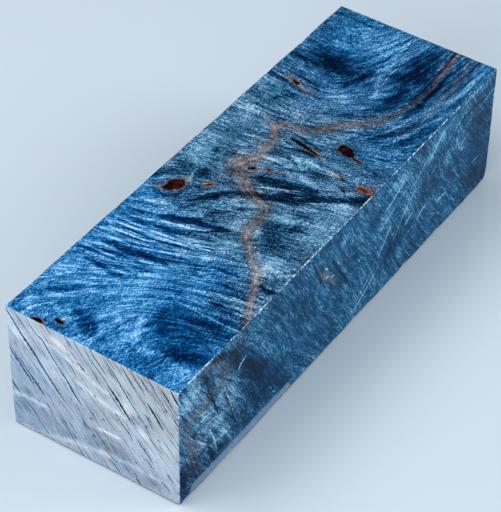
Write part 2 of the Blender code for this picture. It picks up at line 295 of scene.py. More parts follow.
TOP_FIGURE = Figure(
    patches=patches(
        (-52.5, -13, 7.5, 9, -0.48), (-50, -6.3, 4, 1.8, -0.55, 10), (-53.3, -9, 2.2, 2.2, -0.4),
        (-63.6, 0, 1, 0.9, -0.6), (-66.3, 10.6, 1, 2.6, -0.5), (-49, 16, 1.6, 1.6, -0.5),
        (-65.5, -11.6, 2.8, 2.6, -0.55), (-63, 21.6, 4, 0.9, -0.4), (-43, -4, 1.5, 3.2, -0.4),
        (-41.6, -14, 1, 2.2, -0.5), (-37.5, -2.5, 4.5, 1.8, -0.25), (-27, 18.5, 1, 2, -0.5),
        (-17.5, -12, 2.4, 2.2, -0.75, 20), (-13.8, -9.8, 2.3, 2.4, -0.75), (-11.4, -14.6, 1.5, 1.8, -0.6),
        (-7, -13.5, 1.2, 2, -0.35, 10), (-13, -0.6, 1.1, 1.8, -0.6, 25), (-7, 12.6, 1.6, 2, -0.6),
        (1.4, 15.3, 1.5, 0.6, -0.6, 10), (4.6, 13.4, 1.6, 1.4, -0.4), (7.6, -8.5, 1.7, 1.6, -0.65),
        (11.7, -7.5, 0.7, 2.2, -0.5, 5), (29.6, 1.5, 2, 1, -0.55, -30), (31, -2.2, 2.5, 1.2, -0.45, -35),
        (24.4, 4.5, 1, 2.4, -0.3, 20), (43.6, -14, 0.9, 1.3, -0.7), (41, 4.6, 2.2, 1.5, -0.5, 30),
        (46, 2.4, 2.6, 0.9, -0.6, -8), (53, -14.2, 5, 1, -0.6), (64, -14.6, 4, 1, -0.5),
        (58, 19.5, 5, 2.5, -0.2), (-59.3, -5, 1.8, 1.5, 0.85, 20), (-55.4, -3.9, 2.1, 0.8, 0.8, 22),
        (-63, -4, 2.4, 2.2, 0.25), (-50, 2, 6.5, 2.3, 0.55, -4), (-43.5, 2.6, 3, 2.2, 0.3),
        (-49, 18.5, 4.5, 4.5, 0.3), (-53, 8, 5, 3, 0.1), (-61.4, -18, 1.6, 3.6, 0.35),
        (-66.3, -19, 1, 3.5, 0.25), (-32.2, 2.2, 1.3, 2.2, 0.55, 10), (-30.8, -3.6, 1, 1, 0.7),
        (-17, -2.2, 2.4, 1.8, 0.35), (-26.2, -15.5, 3, 2.6, 0.35), (-17, -8, 2.2, 0.6, 0.5, 18),
        (-11.5, 1.5, 2.6, 3.2, 0.35, -40), (-9, -10, 2.2, 3, 0.3), (-9.5, -17.5, 4, 2.6, 0.25),
        (4.7, -9.6, 1.1, 1.8, 0.5), (9.6, -1.6, 1, 1.1, 0.5), (2, -19, 1.6, 1.8, 0.5, -40),
        (-4.3, 5.6, 0.9, 0.9, 0.4), (5, 20, 8, 2.6, 0.15), (27, 8, 4.5, 3.5, 0.2), (26.5, 19, 4, 3, 0.2),
        (39.6, 15, 2.8, 5.5, 0.35), (33.5, 2.5, 3, 2.5, 0.4), (40.5, -4, 3, 1.6, 0.4, -15),
        (59, 3.4, 8, 1.8, 0.22), (53, 13, 2.2, 2, 0.2), (57, 11, 5, 5, 0.08), (44.6, 11.5, 3, 4, -0.2),
        (16, -18, 5, 3.5, 0.15), (48, -16.6, 4, 1, 0.25), (58, -20.3, 9, 1.5, 0.3),
        (48, 20.5, 3, 1.6, 0.25), (-34.7, -3.5, 1.2, 0.9, -0.5), (-64, -19.6, 2.4, 3, 0.3),
        (-57.6, -17.6, 2.6, 5, -0.35), (19.4, 18.4, 1.2, 4.6, 0.15, 4), (59, 9, 7, 6, 0.06),
        (50, -6.4, 7, 2.2, -0.35, -4), (63, -6.6, 4.5, 1.4, -0.35), (-9.2, 11.8, 2.4, 0.9, 0.3, -20),
        (-20.2, -14, 1.1, 4.6, -0.45), (-41.5, -13.7, 0.9, 0.9, -0.7), (-27, -16, 1.5, 1.5, 0.3),
        (-24.3, -18, 1.6, 4, 0.35), (-63, 11, 1.4, 4, 0.25), (-56.6, -0.6, 3.4, 2.4, 0.25),
        (-60.6, -8.4, 1.6, 2, 0.25), (-55, -13.5, 1.6, 2.6, 0.2), (-47.6, 9, 1.2, 3.4, 0.25),
        (-52, 20, 1.6, 2, 0.2), (-35.4, 18, 3, 4, 0.35), (-34, 8.4, 2.8, 3.4, 0.25), (-24, 18, 3, 4, 0.3),
        (-24, -5.5, 2, 1.4, 0.3), (-19.4, 5.6, 1, 1.6, 0.35, 25), (-10.6, -3, 3.6, 1.8, 0.35),
        (-9.6, -12.2, 1.4, 2.2, 0.3), (-14, 7, 1.6, 1, 0.25, -40), (-1.4, -20, 5, 3, 0.4),
        (-2, 18.5, 3, 3.6, 0.3), (-1, 12.4, 2.4, 1, 0.3), (7.2, -1.4, 0.9, 2.6, 0.3),
        (13.4, 2.4, 0.8, 1.6, 0.3), (7, -13.2, 1.2, 1.6, 0.25), (14.4, 18.6, 1.4, 3.6, 0.3),
        (24.6, -6.4, 4, 3, 0.2, -40), (31.4, 20, 1.8, 2.6, 0.4), (37.2, 20, 1.4, 2.6, 0.25),
        (30.6, 8.8, 1.4, 3, 0.2), (60, 10, 7, 4.6, 0.25), (50, 1, 2.6, 1, 0.25),
        (34, -12.4, 2.4, 1.4, 0.25, -35), (65, -6.4, 2.4, 1.4, 0.2), (-44.6, 1, 2.8, 2, -0.35),
        (-36, -17, 2.4, 5.4, -0.35), (-31, -16, 1.2, 3, -0.2), (-18.4, -17, 2.4, 5.4, -0.4),
        (-16, 20, 1.4, 1.8, -0.3), (-11.6, 11.6, 1.6, 1.4, -0.3), (-7.6, 6.4, 1.4, 1.8, -0.25),
        (3, 7.4, 1.2, 0.9, -0.3), (4, -14.2, 1.2, 1.8, -0.3), (10.4, -13.4, 1, 1.8, -0.25),
        (13, -4.4, 1, 1.6, -0.3), (17, 9, 0.9, 0.9, -0.25), (24.2, 2.4, 1.4, 1.8, -0.3, 25),
        (38, 14.8, 2.6, 1.6, -0.25), (42, 10, 2, 2.6, -0.25), (45, 2, 4.6, 3.6, -0.45, -20),
        (53, -4.2, 3, 1.2, -0.3), (49.6, -11.4, 5, 2.6, -0.4), (57, -16, 4, 1, -0.25),
        (46.6, 11.4, 4.8, 6.6, -0.8, 8), (54, -7.4, 6.8, 3.2, -0.72), (40, -7.6, 4.6, 1.8, -0.5, -15),
        (-52.5, -13, 6, 7, -0.25),
    ),
    bands=bands(
        (-0.5, -58.8, -13.5, 1, -58, -17, 1.8, -57, -20, 2.2, -56.5, -22.6, 2.2),
        (-0.55, -48.2, -9.5, 0.8, -47.8, -14, 1.4, -47.6, -18, 1.4, -47.6, -22.6, 1),
        (-0.9, -59.8, 9.2, 0.5, -60.8, 6.8, 1.7, -62.2, 4.4, 1.9, -63.8, 2.4, 0.7),
        (-0.65, -58, 18.4, 0.5, -55.6, 14.8, 0.8, -53.2, 12.2, 0.8, -50.6, 9.4, 0.5, -49, 8.6, 0.3),
        (-0.8, -45.4, 17.5, 0.5, -45.6, 14, 0.8, -46, 10, 0.7, -45.8, 8, 0.4),
        (-0.65, -43.2, 21.5, 0.3, -42.9, 19, 0.5, -42.6, 16, 0.5, -42.4, 12, 0.3),
        (-0.6, -41.3, 19, 0.3, -41, 15, 0.38, -40.6, 12, 0.38, -40.2, 9.5, 0.3, -39.9, 7, 0.2),
        (-0.9, -38.3, 18, 0.5, -38.4, 14, 0.9, -38, 11, 0.9, -37.6, 8, 0.8, -37.4, 3, 0.6, -37.2, 2, 0.3),
        (-0.6, -36.2, 14, 0.3, -36.1, 12.4, 0.4, -35.9, 11, 0.3),
        (-0.6, -34.7, 18, 0.25, -34.4, 15, 0.32, -34.2, 12, 0.25),
        (-0.6, -33.5, 16, 0.25, -33.2, 13.4, 0.32, -33, 11, 0.25),
        (-0.9, -32.7, 19, 0.3, -32.3, 12, 0.42, -32, 9, 0.46, -31.5, 6.5, 0.46, -31, 4.5, 0.5, -30.4, 2,
        0.46, -30, 0, 0.3), (-0.4, -31, 20, 0.25, -30.9, 16, 0.3, -30.7, 12, 0.25),
        (-0.85, -29.3, 19.5, 0.35, -28.9, 16, 0.6, -28.3, 13.8, 0.6, -27.6, 12.6, 0.3),
        (-0.6, -28.9, 9, 0.25, -28.5, 6, 0.3, -28.2, 3.6, 0.25),
        (-0.75, -28, 12, 0.5, -27.2, 6, 0.95, -26.2, 2.5, 0.7, -25.5, 0, 0.45, -25, -2, 0.3),
        (-1.05, -25.2, 12.7, 0.4, -24.3, 11, 1.2, -23.5, 9, 1.4, -22.6, 6.5, 1.35, -21.8, 4, 1.1, -21.2,
        1.5, 0.8, -20.5, -0.5, 0.6, -20, -2.5, 0.3),
        (-0.8, -24.5, 3, 0.25, -23.6, 1.4, 0.45, -22.2, 0, 0.5, -21, -1.5, 0.45, -20, -3, 0.25),
        (-0.8, -27.9, -1.5, 0.3, -27.6, -2.6, 0.38, -27.4, -3.6, 0.25),
        (-0.7, -25.3, -0.5, 0.25, -24.9, -1.8, 0.25),
        (-0.55, -41.3, -14.4, 0.5, -41.2, -16, 0.6, -40.5, -19, 0.3),
        (-0.6, -35.8, -10.5, 0.4, -35.5, -14, 0.7, -35.3, -16.5, 0.4),
        (-0.85, -31.9, -8, 0.35, -31.6, -11, 0.55, -31.2, -13, 0.3),
        (-0.95, -31.3, -17.3, 0.5, -31.3, -20, 0.8, -31.2, -22.6, 0.8),
        (-0.65, -44.5, -16, 0.5, -44.4, -19, 0.8, -44.3, -22.6, 0.7),
        (-0.5, -40.2, -16.5, 0.3, -40.4, -19, 0.4, -40.6, -21, 0.3),
        (-0.5, -37.7, -12.5, 0.4, -37.7, -15, 0.4), (0.37, -42, 22, 0.25, -41.9, 18, 0.3, -41.5, 11, 0.25),
        (0.41, -40, 19, 0.25, -39.8, 14, 0.3, -39.3, 8.3, 0.25),
        (0.58, -39.4, 7.5, 0.25, -38.8, 4.5, 0.35, -38.4, 2.5, 0.3, -38, 1.2, 0.25),
        (0.51, -37, 22, 0.3, -36.8, 18, 0.36, -36.7, 14.5, 0.36, -36.2, 11, 0.25),
        (0.37, -35.5, 21, 0.25, -35.2, 16, 0.3, -35, 11, 0.25),
        (0.58, -34, 20, 0.25, -33.9, 16, 0.36, -33.3, 10, 0.25),
        (0.37, -32.8, 21, 0.25, -32.8, 17, 0.3, -32.8, 13, 0.2),
        (0.58, -32, 20, 0.25, -31.6, 15, 0.32, -31, 11, 0.34, -30.4, 6.5, 0.34, -29.6, 2, 0.34, -28.8, 0,
        0.32, -28.2, -2, 0.3, -27.5, -4.4, 0.2),
        (0.58, -30.4, 21, 0.25, -30.3, 16, 0.3, -29.9, 13, 0.32, -29.7, 9, 0.32, -29.3, 5.5, 0.32, -28.4, 1,
        0.3, -26.8, -3.2, 0.2), (0.41, -28.3, 20.5, 0.3, -28, 17, 0.4, -27.3, 14, 0.36, -26.8, 12.8, 0.25),
        (0.68, -25.9, 12.3, 0.25, -25.4, 9.5, 0.36, -24.8, 7, 0.36, -24.3, 4.5, 0.36, -23.3, 1.8, 0.25),
        (0.44, -26.3, 3.5, 0.25, -25.4, 1.2, 0.25), (0.37, -24, -0.5, 0.4, -23.5, -3.5, 0.3),
        (0.41, -45.4, -5, 0.25, -45.3, -10, 0.32, -45.5, -15, 0.34, -45.4, -22, 0.25),
        (0.41, -43.2, -9, 0.2, -42.8, -13, 0.28, -42.8, -16.5, 0.26, -42.2, -19.8, 0.2),
        (0.27, -37.4, -11.5, 0.25, -37.9, -15.5, 0.3, -37.5, -18.5, 0.25),
        (0.37, -30.2, -9.5, 0.25, -30.1, -15, 0.3, -30.2, -22, 0.32), (0.24, -35, -2, 0.3, -35, -9, 0.3),
        (0.24, -39.9, -8, 0.3, -40, -15, 0.3),
        (-0.5, -19, 4.2, 0.4, -17, 3.6, 0.7, -15.4, 1.6, 0.7, -14, 0, 0.4),
        (-0.5, -21.4, 10.8, 0.3, -19, 10, 0.5, -17, 8.7, 0.6, -14.4, 7.4, 0.7, -12, 6.2, 0.7),
        (-0.5, -19, 18, 0.5, -18.2, 15.6, 0.8, -16.6, 13.6, 0.6, -13, 13.4, 0.5),
        (-1, -17, 10.6, 0.4, -13.5, 8.2, 0.6, -11, 5.6, 1, -9, 3.2, 1.2, -7.4, 0.4, 1.1, -6, -2.2, 1.2,
        -4.4, -5, 1.5, -2.6, -8, 1.7, -0.4, -11.6, 1.4, 1.6, -14.6, 1.1, 3.4, -17.6, 1, 5.2, -20.4, 1.5,
        6.4, -22.7, 1.8),
        (-0.8, -2, 3.6, 0.5, -0.9, 0.4, 1.4, 0.2, -3.6, 1.7, 1.2, -7.6, 1.4, 2.4, -11.6, 0.7),
        (-0.55, 5.7, 2.4, 0.25, 5.4, -1.6, 0.35, 6, -4.8, 0.3),
        (-0.65, 8, 5.6, 0.5, 8.7, 3, 0.9, 9.2, 0.6, 0.7, 8.2, -1.8, 0.6),
        (-0.45, -13.5, 22.6, 0.8, -10.4, 19.4, 1.8, -7.6, 17.8, 1.8, -6, 21.4, 1.4),
        (-0.3, -8, 14, 1, -4, 13.4, 1.4, 0, 12.4, 1.2, 3, 12.2, 1.2),
        (-0.65, 17.4, 6.4, 0.3, 17, 3, 0.4, 16.3, -0.5, 0.45, 15.4, -4.2, 0.3),
        (-0.6, 13.4, 4.2, 0.4, 12.9, 0, 0.6, 12.4, -4, 0.4),
        (-0.7, 34.2, 22.6, 0.9, 33.4, 19, 0.8, 32.6, 15, 0.5, 31.8, 10.6, 0.5, 31.5, 6.4, 0.4),
        (-0.6, 36.8, 17, 0.4, 36.2, 12, 0.6, 34.6, 8.6, 0.4),
        (-0.5, 26, 15.4, 0.5, 28, 13.4, 0.9, 30, 12, 0.5),
        (-0.5, 34, -4.8, 0.6, 37, -7.2, 1.1, 41, -8.4, 1.3, 46, -8.4, 1.7),
        (-0.35, 47.4, 17.4, 0.8, 47.6, 14.4, 2.4, 46.6, 11.2, 2.7, 45, 8.4, 2, 44.4, 5.6, 1.6),
        (-0.6, 43.6, 22.6, 0.7, 43.2, 18, 0.9, 43, 14, 0.7),
        (-0.4, 49.6, -2.8, 1, 50.6, -5.6, 2.2, 52.4, -7.8, 2.6, 56.4, -8.6, 2.2, 60.4, -8.2, 1.5, 65, -7.6,
        0.7), (-0.7, 44, -11.4, 0.4, 50, -12.1, 0.5, 58, -11.6, 0.5, 67.5, -10.8, 0.45),
        (-0.7, 38, -13.6, 0.6, 44, -14.3, 0.6, 51, -14.4, 0.5, 60, -13.6, 0.35),
        (-0.5, 39, 4.6, 0.5, 44, 2.6, 0.8, 49, 1.6, 0.5),
        (-0.6, 26, -11, 0.5, 28, -13, 0.7, 30, -14.8, 0.7, 33, -16, 0.6, 38, -17, 0.5),
        (-0.4, 27, -16.4, 0.4, 30, -18.2, 0.6, 34, -19.6, 0.5, 40, -20.6, 0.4),
        (-0.4, 50, 1.4, 0.3, 56, 1.5, 0.34, 67.5, 1.2, 0.34),
        (-0.55, 64.2, 22.6, 0.4, 64.3, 15, 0.4, 64.1, 9.5, 0.3),
        (-0.25, 55.2, 22.6, 0.3, 55.1, 8, 0.3, 55.2, -6, 0.3), (-0.4, 60, 16.2, 0.5, 60, 12.4, 0.5),
        (-0.3, 51.4, 12, 0.4, 51.2, 16, 0.4), (0.24, -61.4, -7.4, 0.6, -61.2, -12.4, 0.5),
        (-0.45, -44.2, 21, 0.25, -44.3, 16, 0.3, -43.9, 10, 0.3, -43.5, 6, 0.25),
        (-0.4, -41.9, 9.6, 0.25, -41.3, 5, 0.3, -40.4, 1, 0.25),
        (-0.45, -39.1, 21, 0.2, -39, 17, 0.3, -38.9, 12.5, 0.2),
        (-0.45, -36.8, 8.5, 0.25, -36.3, 4.5, 0.32, -35.5, 0.5, 0.25),
        (-0.4, -35.2, 10.6, 0.25, -34.8, 6, 0.3, -34.1, 2, 0.3, -33.3, -2, 0.2),
        (-0.45, -33.9, 9, 0.2, -33.4, 5, 0.3, -32.5, 1, 0.25, -31.6, -3, 0.2),
        (-0.4, -26.4, 21, 0.25, -26.2, 17.4, 0.4, -25.4, 14.6, 0.3),
        (-0.4, -23.8, 20.4, 0.25, -23.2, 17, 0.35, -22.6, 14, 0.25),
        (0.4, -21.8, 19.6, 0.6, -20.8, 15, 1, -20.6, 11.4, 0.5),
        (0.4, -5.9, -6, 0.4, -5.2, -11, 0.5, -4, -14.4, 0.4),
        (0.6, 6.3, 5.2, 0.5, 6.1, 1, 0.6, 6.4, -3, 0.6, 7.6, -4.8, 0.5),
        (0.5, 10.7, -3.4, 0.4, 9.9, -7.6, 0.5, 10.1, -11, 0.5, 9.4, -13.4, 0.3),
        (0.45, 4.2, -2.2, 0.8, 4.6, -5.6, 0.9, 4.4, -8, 0.8),
        (0.25, 17, 10.2, 0.5, 18.4, 12.6, 0.7, 19.3, 15.6, 0.8, 19.6, 19, 0.7, 19.6, 22.6, 0.6),
        (0.4, 24, -9, 0.4, 27, -11, 0.5, 30, -12.8, 0.5, 34, -14.2, 0.5, 38, -15, 0.4),
        (0.35, 23.4, -12.5, 0.4, 26, -15, 0.5, 30, -17, 0.4, 36, -18.6, 0.4),
        (0.4, 40, -3.8, 0.5, 44, -2.2, 0.7, 48.6, -0.4, 0.6),
        (0.35, 20.5, 8.4, 0.5, 22, 4.4, 0.6, 24.6, 1.4, 0.5),
        (0.35, 19.5, -2.4, 0.5, 20.6, -5, 0.7, 23.6, -6.4, 0.6, 26.6, -8.6, 0.5),
    ),
    veins=veins(
        (0.95, -43, -22.6, 1.17, -0.2, -41, -21.5, 1.04, 0.1, -39.3, -20.7, 0.98, 0.25, -36, -19, 0.91, 0.2,
        -32.7, -17.6, 0.91, 0.15, -30.3, -16.3, 0.98, 0.5, -28, -15.1, 0.98, 0.5, -26, -13, 0.91, 0.3,
        -24.3, -11.3, 0.91, 0.1, -22, -9.3, 1.04, 0.2, -19.7, -7, 1.3, 0.2, -17.3, -5.9, 1.43, 0.15, -15,
        -5.8, 1.43, 0.05, -12.7, -5.8, 1.43, -0.15, -10.7, -5.5, 1.37, -0.25, -9, -4.9, 1.43, 0.27, -8.3,
        -3.7, 1.43, 0.42, -7.7, -2, 1.57, 0.22, -6.8, 0, 1.72, -0.18, -5.5, 2, 2, -0.08, -4.2, 3.8, 2.15,
        0.07, -2.8, 6, 2.43, -0.38, -1.8, 7.6, 2.43, -0.48, -0.2, 9.1, 2.06, 0.22, 1.2, 8.6, 2.19, 0.37,
        2.6, 7.7, 1.88, -0.08, 4, 6.8, 1.56, 0.22, 5.4, 6.1, 1.4, 0.12, 6.6, 6.4, 1.4, 0.22, 8, 7, 1.56,
        0.22, 10, 7.1, 1.64, 0.12, 12, 6.4, 1.25, 0.02, 13, 6.5, 1.1, 0, 14.5, 7.7, 0.88, 0.1, 15.7, 8.8,
        0.94, 0.3, 16.9, 9.5, 1.06, 0.2, 17.8, 8.9, 0.95, 0.15, 18.5, 7.2, 1, 0.1, 19.1, 4.8, 1.15, 0.1,
        19.9, 2.4, 1.26, -0.05, 21, 0.6, 1.38, -0.1, 22.5, -0.6, 1.49, -0.25, 24.5, -2, 1.49, -0.3, 27, -4,
        1.49, -0.25, 29, -6.2, 1.44, -0.15, 31, -8, 1.38, -0.15, 33, -9.4, 1.32, -0.25, 35, -10.5, 1.21,
        -0.3, 37, -11.2, 0.95, -0.45, 39, -11.8, 0.8, -0.45, 41, -12.3, 0.7, -0.45, 44, -12.7, 0.66, -0.45,
        48, -13.1, 0.6, -0.5, 51, -13.1, 0.58, -0.55, 54, -12.9, 0.62, -0.5, 57, -12.6, 0.66, -0.3, 60.7,
        -12.3, 0.7, -0.1, 64, -12, 0.7, -0.15, 67.5, -11.6, 0.7, -0.15),
        (0.95, -0.6, 8.4, 0.2, -0.9, 0.8, 7.6, 0.34, -1, 2.2, 6.8, 0.36, -1, 3.6, 6.2, 0.2, -0.8),
        (0.9, -7.4, -4.6, 0.2, -0.8, -6.6, -2.6, 0.4, -0.9, -5.9, -0.6, 0.44, -0.9, -4.9, 1, 0.2, -0.7),
        (0.6, 53, -11.8, 0.2, -0.4, 58, -11.4, 0.3, -0.2, 63, -10.8, 0.34, -0.1, 67.5, -10.2, 0.36, 0),
        (0.36, 30, -14.6, 0.5, -0.7, 33, -16, 0.9, -0.7, 37, -17, 0.7, -0.5, 42, -17.8, 0.4, -0.3),
        (0.3, 42, -17.6, 0.7, -0.2, 52, -17.6, 0.9, -0.1, 58, -16.8, 0.9, 0, 64, -16.3, 0.7, 0.1, 67.5, -16,
        0.6, 0),
        (0.7, 31.8, 8, 0.3, 0.3, 32.6, 10, 0.6, 0.5, 33.2, 12.2, 0.8, 0.3, 34, 14.6, 0.95, 0.1, 35, 17,
        0.75, 0.4, 35.5, 18.8, 0.4, 0.2),
        (0.75, 0.2, 6.6, 0.3, 0.4, 0.3, 5.2, 0.5, 0.5, 1.2, 3.8, 0.6, 0.5, 2.2, 2.2, 0.65, 0.3, 3, 0.4, 0.5,
        0.5, 3.6, -1.2, 0.2, 0.4), (0.4, 17.2, 10, 0.5, 0.5, 18.4, 12.4, 0.5, 0.3, 19.2, 14.6, 0.3, 0.3),
        (0.8, -18, 21.4, 0.2, 0.2, -17.4, 20.3, 0.4, 0.6, -16.9, 19.4, 0.45, 0.7, -16.8, 18.4, 0.35, 0.4),
        (0.45, -11.9, 15.2, 0.5, 0.9, -10.6, 15.1, 0.7, 0.9, -9.6, 15, 0.2, 0.9),
        (0.8, 13.9, -4, 0.2, 0.5, 13.5, -5.6, 0.4, 0.8, 13.2, -6.6, 0.2, 0.5),
        (0.6, 16.8, -11.6, 0.2, 0.4, 16.8, -12.8, 0.45, 0.6, 16.3, -14, 0.2, 0.4),
        (0.6, 10.2, -10.4, 0.3, 0.8, 10, -12, 0.4, 0.6, 9.6, -13.4, 0.3, 0.2),
        (0.7, 10.1, -17.6, 0.2, 0.6, 10.5, -19.6, 0.35, 0.7, 10.5, -21.6, 0.3, 0.7),
    ),
)

FRONT_FIGURE = Figure(
    patches=patches(
        (-63.4, 29.8, 4.4, 3.2, 0.7, -10), (-53.6, 29.2, 1.6, 2.2, 0.4), (-58, 31, 2.4, 1.6, -0.2),
        (-57, 19.8, 4, 1.4, 0.45), (-53.4, 14, 2.6, 2.2, 0.6, -20), (-50.4, 9.4, 2.6, 1.5, 0.6),
        (-45.6, 13.6, 2, 4.6, 0.25, 20), (-57.6, 12.4, 1.6, 1.2, 0.3), (-66.2, 5.6, 1.2, 4.6, -0.9),
        (-64, 1.6, 3, 1, -0.5), (-62.4, 17.2, 0.9, 0.9, -0.6), (-42, 13, 4.6, 6, -0.6, 30),
        (-37, 6.6, 5.5, 3.4, -0.55), (-62, 6, 5, 6, -0.55), (-52, 5, 4, 2.4, -0.45),
        (-47, 8, 1.8, 3, -0.35), (-57, 30.6, 3, 3, -0.35), (-55.6, 24, 1.4, 3.4, -0.4, 15),
        (62, 22, 7, 9, -0.45), (62, 6, 8, 7, -0.35), (50, 16, 6, 4, -0.15), (21, 11.4, 5, 3, -0.4, 30),
        (33, 5.6, 5, 2.6, -0.2), (22.6, 30.4, 3.6, 3, 0.5, 30), (-56, 16, 9, 12, 0.4),
        (38, 30, 8, 2.6, 0.3, 12), (54, 31.8, 8, 1.6, 0.3, 6), (27, 21, 6, 4, 0.2, 30),
        (65, 3, 6, 4, -0.4), (17, 24, 3.4, 2.6, 0.35, 20), (46.6, 24, 2.6, 2.6, 0.3),
        (-56, 5.4, 2, 2.6, -0.35), (-24, 26, 1.2, 3, -0.55, 20), (-20, 20, 3, 3.4, -0.4, 30),
        (-30, 28, 3.4, 3, -0.3, 30), (-13, 27.8, 2.4, 1.2, -0.5, -30), (-6, 17, 4, 4, -0.2),
        (2, 20, 3, 3.4, -0.4, 30), (-14, 8, 7, 3.5, -0.25), (4, 7, 5, 3, 0.15),
        (-2.4, 29.6, 1.4, 1.8, 0.5), (10, 25.6, 2.8, 1.3, -0.55, -20), (12.6, 27, 1.5, 0.9, -0.5),
        (8, 32, 1, 2.4, 0.3), (23.4, 29, 3, 2, 0.4, 20), (13.6, 21.4, 4.4, 1.2, 0.25, 15),
        (19.4, 13.6, 2.2, 3, -0.45), (28, 12, 3, 3, -0.3), (32.6, 30, 1.4, 3, -0.45),
        (38, 19.6, 4, 4.4, -0.3), (48, 22.8, 1.8, 1.4, 0.3), (60.6, 24.4, 4.6, 2.6, -0.5),
        (63, 33.4, 3.6, 0.8, 0.5), (46, 33, 4, 1, -0.3), (58.6, 31.6, 5, 1.2, -0.4),
        (58, 6, 3.2, 3.4, -0.35), (64.6, 12, 2, 7, -0.3, 20), (24, 9, 2, 2.4, 0.2),
        (44.6, 20.6, 1.4, 4.4, 0.3, 20), (34, 17, 5, 2, -0.2, -50),
    ),
    bands=bands(
        (-0.6, -55, 33.4, 0.6, -51, 32.4, 1.1, -48.4, 30, 1.9, -46.4, 27.2, 2.6, -44, 24, 3, -41.4, 21, 3.2,
        -38, 17.4, 3.2, -34.4, 13.4, 3.2, -31, 9.6, 3, -28, 6, 2.4, -25.4, 3, 1),
        (-0.3, -48.4, 30, 0.9, -44, 24.6, 1.5, -40, 20, 1.2, -36, 15.4, 0.8),
        (-0.6, -50.6, 21, 0.4, -48.4, 15, 0.6, -46.8, 10.4, 0.4),
        (0.5, -50.8, 22.6, 0.3, -48.8, 17, 0.3, -46.6, 10.4, 0.3),
        (-0.45, -57, 27, 0.4, -54.6, 21, 0.5, -53, 16, 0.4),
        (-0.5, -60.4, 21, 0.4, -59, 15, 0.5, -56.6, 10, 0.6, -55, 4, 0.5),
        (0.35, -56, 14, 0.4, -54.4, 9, 0.5, -53.6, 5, 0.4),
        (0.25, 34.6, 27, 1, 38, 29.4, 1.4, 41.6, 32.4, 1), (-0.4, 51, 14, 0.5, 53, 10.6, 0.6, 54.4, 8, 0.5),
        (-0.35, 37.6, 20.4, 0.6, 40.4, 17.6, 0.6, 41.8, 16.6, 0.4),
        (-0.35, 54.8, 17.6, 0.6, 57.6, 13, 0.7, 59.6, 9.4, 0.5),
        (0.3, 47, 26.8, 0.5, 50, 22, 0.6, 52.6, 17.6, 0.5),
        (-0.5, -7.6, 27, 0.4, -4.4, 21.4, 0.5, -1.2, 16.4, 0.5, 0.6, 12.6, 0.4),
        (-0.4, -16.6, 33, 0.4, -13.8, 27, 0.5, -10.6, 21, 0.4),
        (-0.4, -26, 24, 0.4, -22, 18, 0.6, -19.6, 13, 0.5),
    ),
    veins=veins(
        (0.5, -41.6, 34.5, 0.9, -0.1, -44, 31.6, 0.9, -0.5, -47, 28.4, 1.1, -0.4, -50, 26.2, 2, 0.1, -54,
        24.2, 1.5, -0.2, -60, 23.2, 1.6, 0.1, -67.5, 23.6, 1.5, 0),
        (0.5, -65, 20, 1.6, -0.1, -63.4, 15, 2.6, 0, -62, 10, 2.6, -0.1, -61, 5, 2.4, -0.5, -58.6, 1, 1.8,
        -0.4), (0.35, -56.6, 33, 2, 0, -53, 31, 2, 0, -50.6, 30, 1.2, 0),
        (0.4, -50.8, 24, 0.7, 0, -50, 18, 0.7, 0, -48, 13.6, 0.5, 0),
        (0.6, -14, 29, 0.6, 0, -11.4, 25.4, 1.2, 0, -8.2, 22, 1.1, 0, -6, 19, 0.4, 0),
        (0.6, 8.6, 34.6, 0.9, 0, 9.4, 33.2, 0.7, 0, 10, 31.6, 0.3, 0),
        (0.1, 36, 23, 2, -0.1, 37.6, 19, 2.4, -0.1, 39, 15.6, 1.4, -0.1),
        (0.1, 56, 8, 1.6, -0.1, 59, 5.4, 2.2, -0.1, 62, 3, 1.6, -0.1),
    ),
)

BACK_FIGURE = Figure(
    patches=patches(
        (-48, 20, 9, 6, -0.6, 20), (-20, 10, 8, 5, -0.5, -20), (10, 24, 10, 5, -0.35, 10),
        (44, 12, 9, 7, -0.6), (-33, 28, 8, 3, 0.4), (-60, 6, 5, 3, 0.3), (26, 8, 7, 3, 0.35, 25),
        (60, 28, 6, 3, 0.3),
    ),
    veins=veins(
        (1, -67.5, 9, 0.5, 0, -56, 11, 0.7, 0, -44, 8, 0.9, 0, -34, 12, 0.8, 0, -22, 20, 1, 0, -14, 21, 0.7,
        0, -4, 16, 0.4, 0),
        (0.8, 30, 0, 0.8, 0, 33, 8, 0.8, 0, 39, 15, 1, 0, 50, 18, 0.8, 0, 67.5, 17, 0.6, 0),
    ),
)

UNDERSIDE_FIGURE = Figure(
    patches=patches(
        (-40, 8, 9, 6, -0.7, 10), (-8, -9, 8, 5, -0.7, -25), (30, 10, 10, 4, -0.6, 10),
        (52, -12, 8, 4, -0.6), (-58, -12, 6, 4, 0.4), (-22, 14, 6, 3, 0.35), (12, -2, 7, 3, 0.4, 20),
        (58, 14, 5, 4, 0.3),
    ),
    veins=veins(
        (1, -67.5, 3, 0.7, 0, -55, 1, 0.8, 0, -42, -5, 0.9, 0, -30, -8, 1, 0, -18, -3, 1.1, 0, -6, 5, 1, 0,
        6, 7, 0.8, 0, 18, 3, 0.9, 0, 30, -5, 1, 0, 42, -9, 0.8, 0, 54, -9, 0.7, 0, 67.5, -10, 0.6, 0),
    ),
)

FAR_END_FIGURE = Figure(
    patches=patches(
        (10, 22, 6, 6, -0.5), (-12, 10, 5, 5, -0.5), (0, 12, 5, 4, 0.3),
    ),
    veins=veins(
        (1, -11.6, 35, 0.5, 0, -12.5, 26, 0.8, 0, -9, 16, 1, 0, -11, 7, 0.8, 0, -10, 0, 0.7, 0),
    ),
)

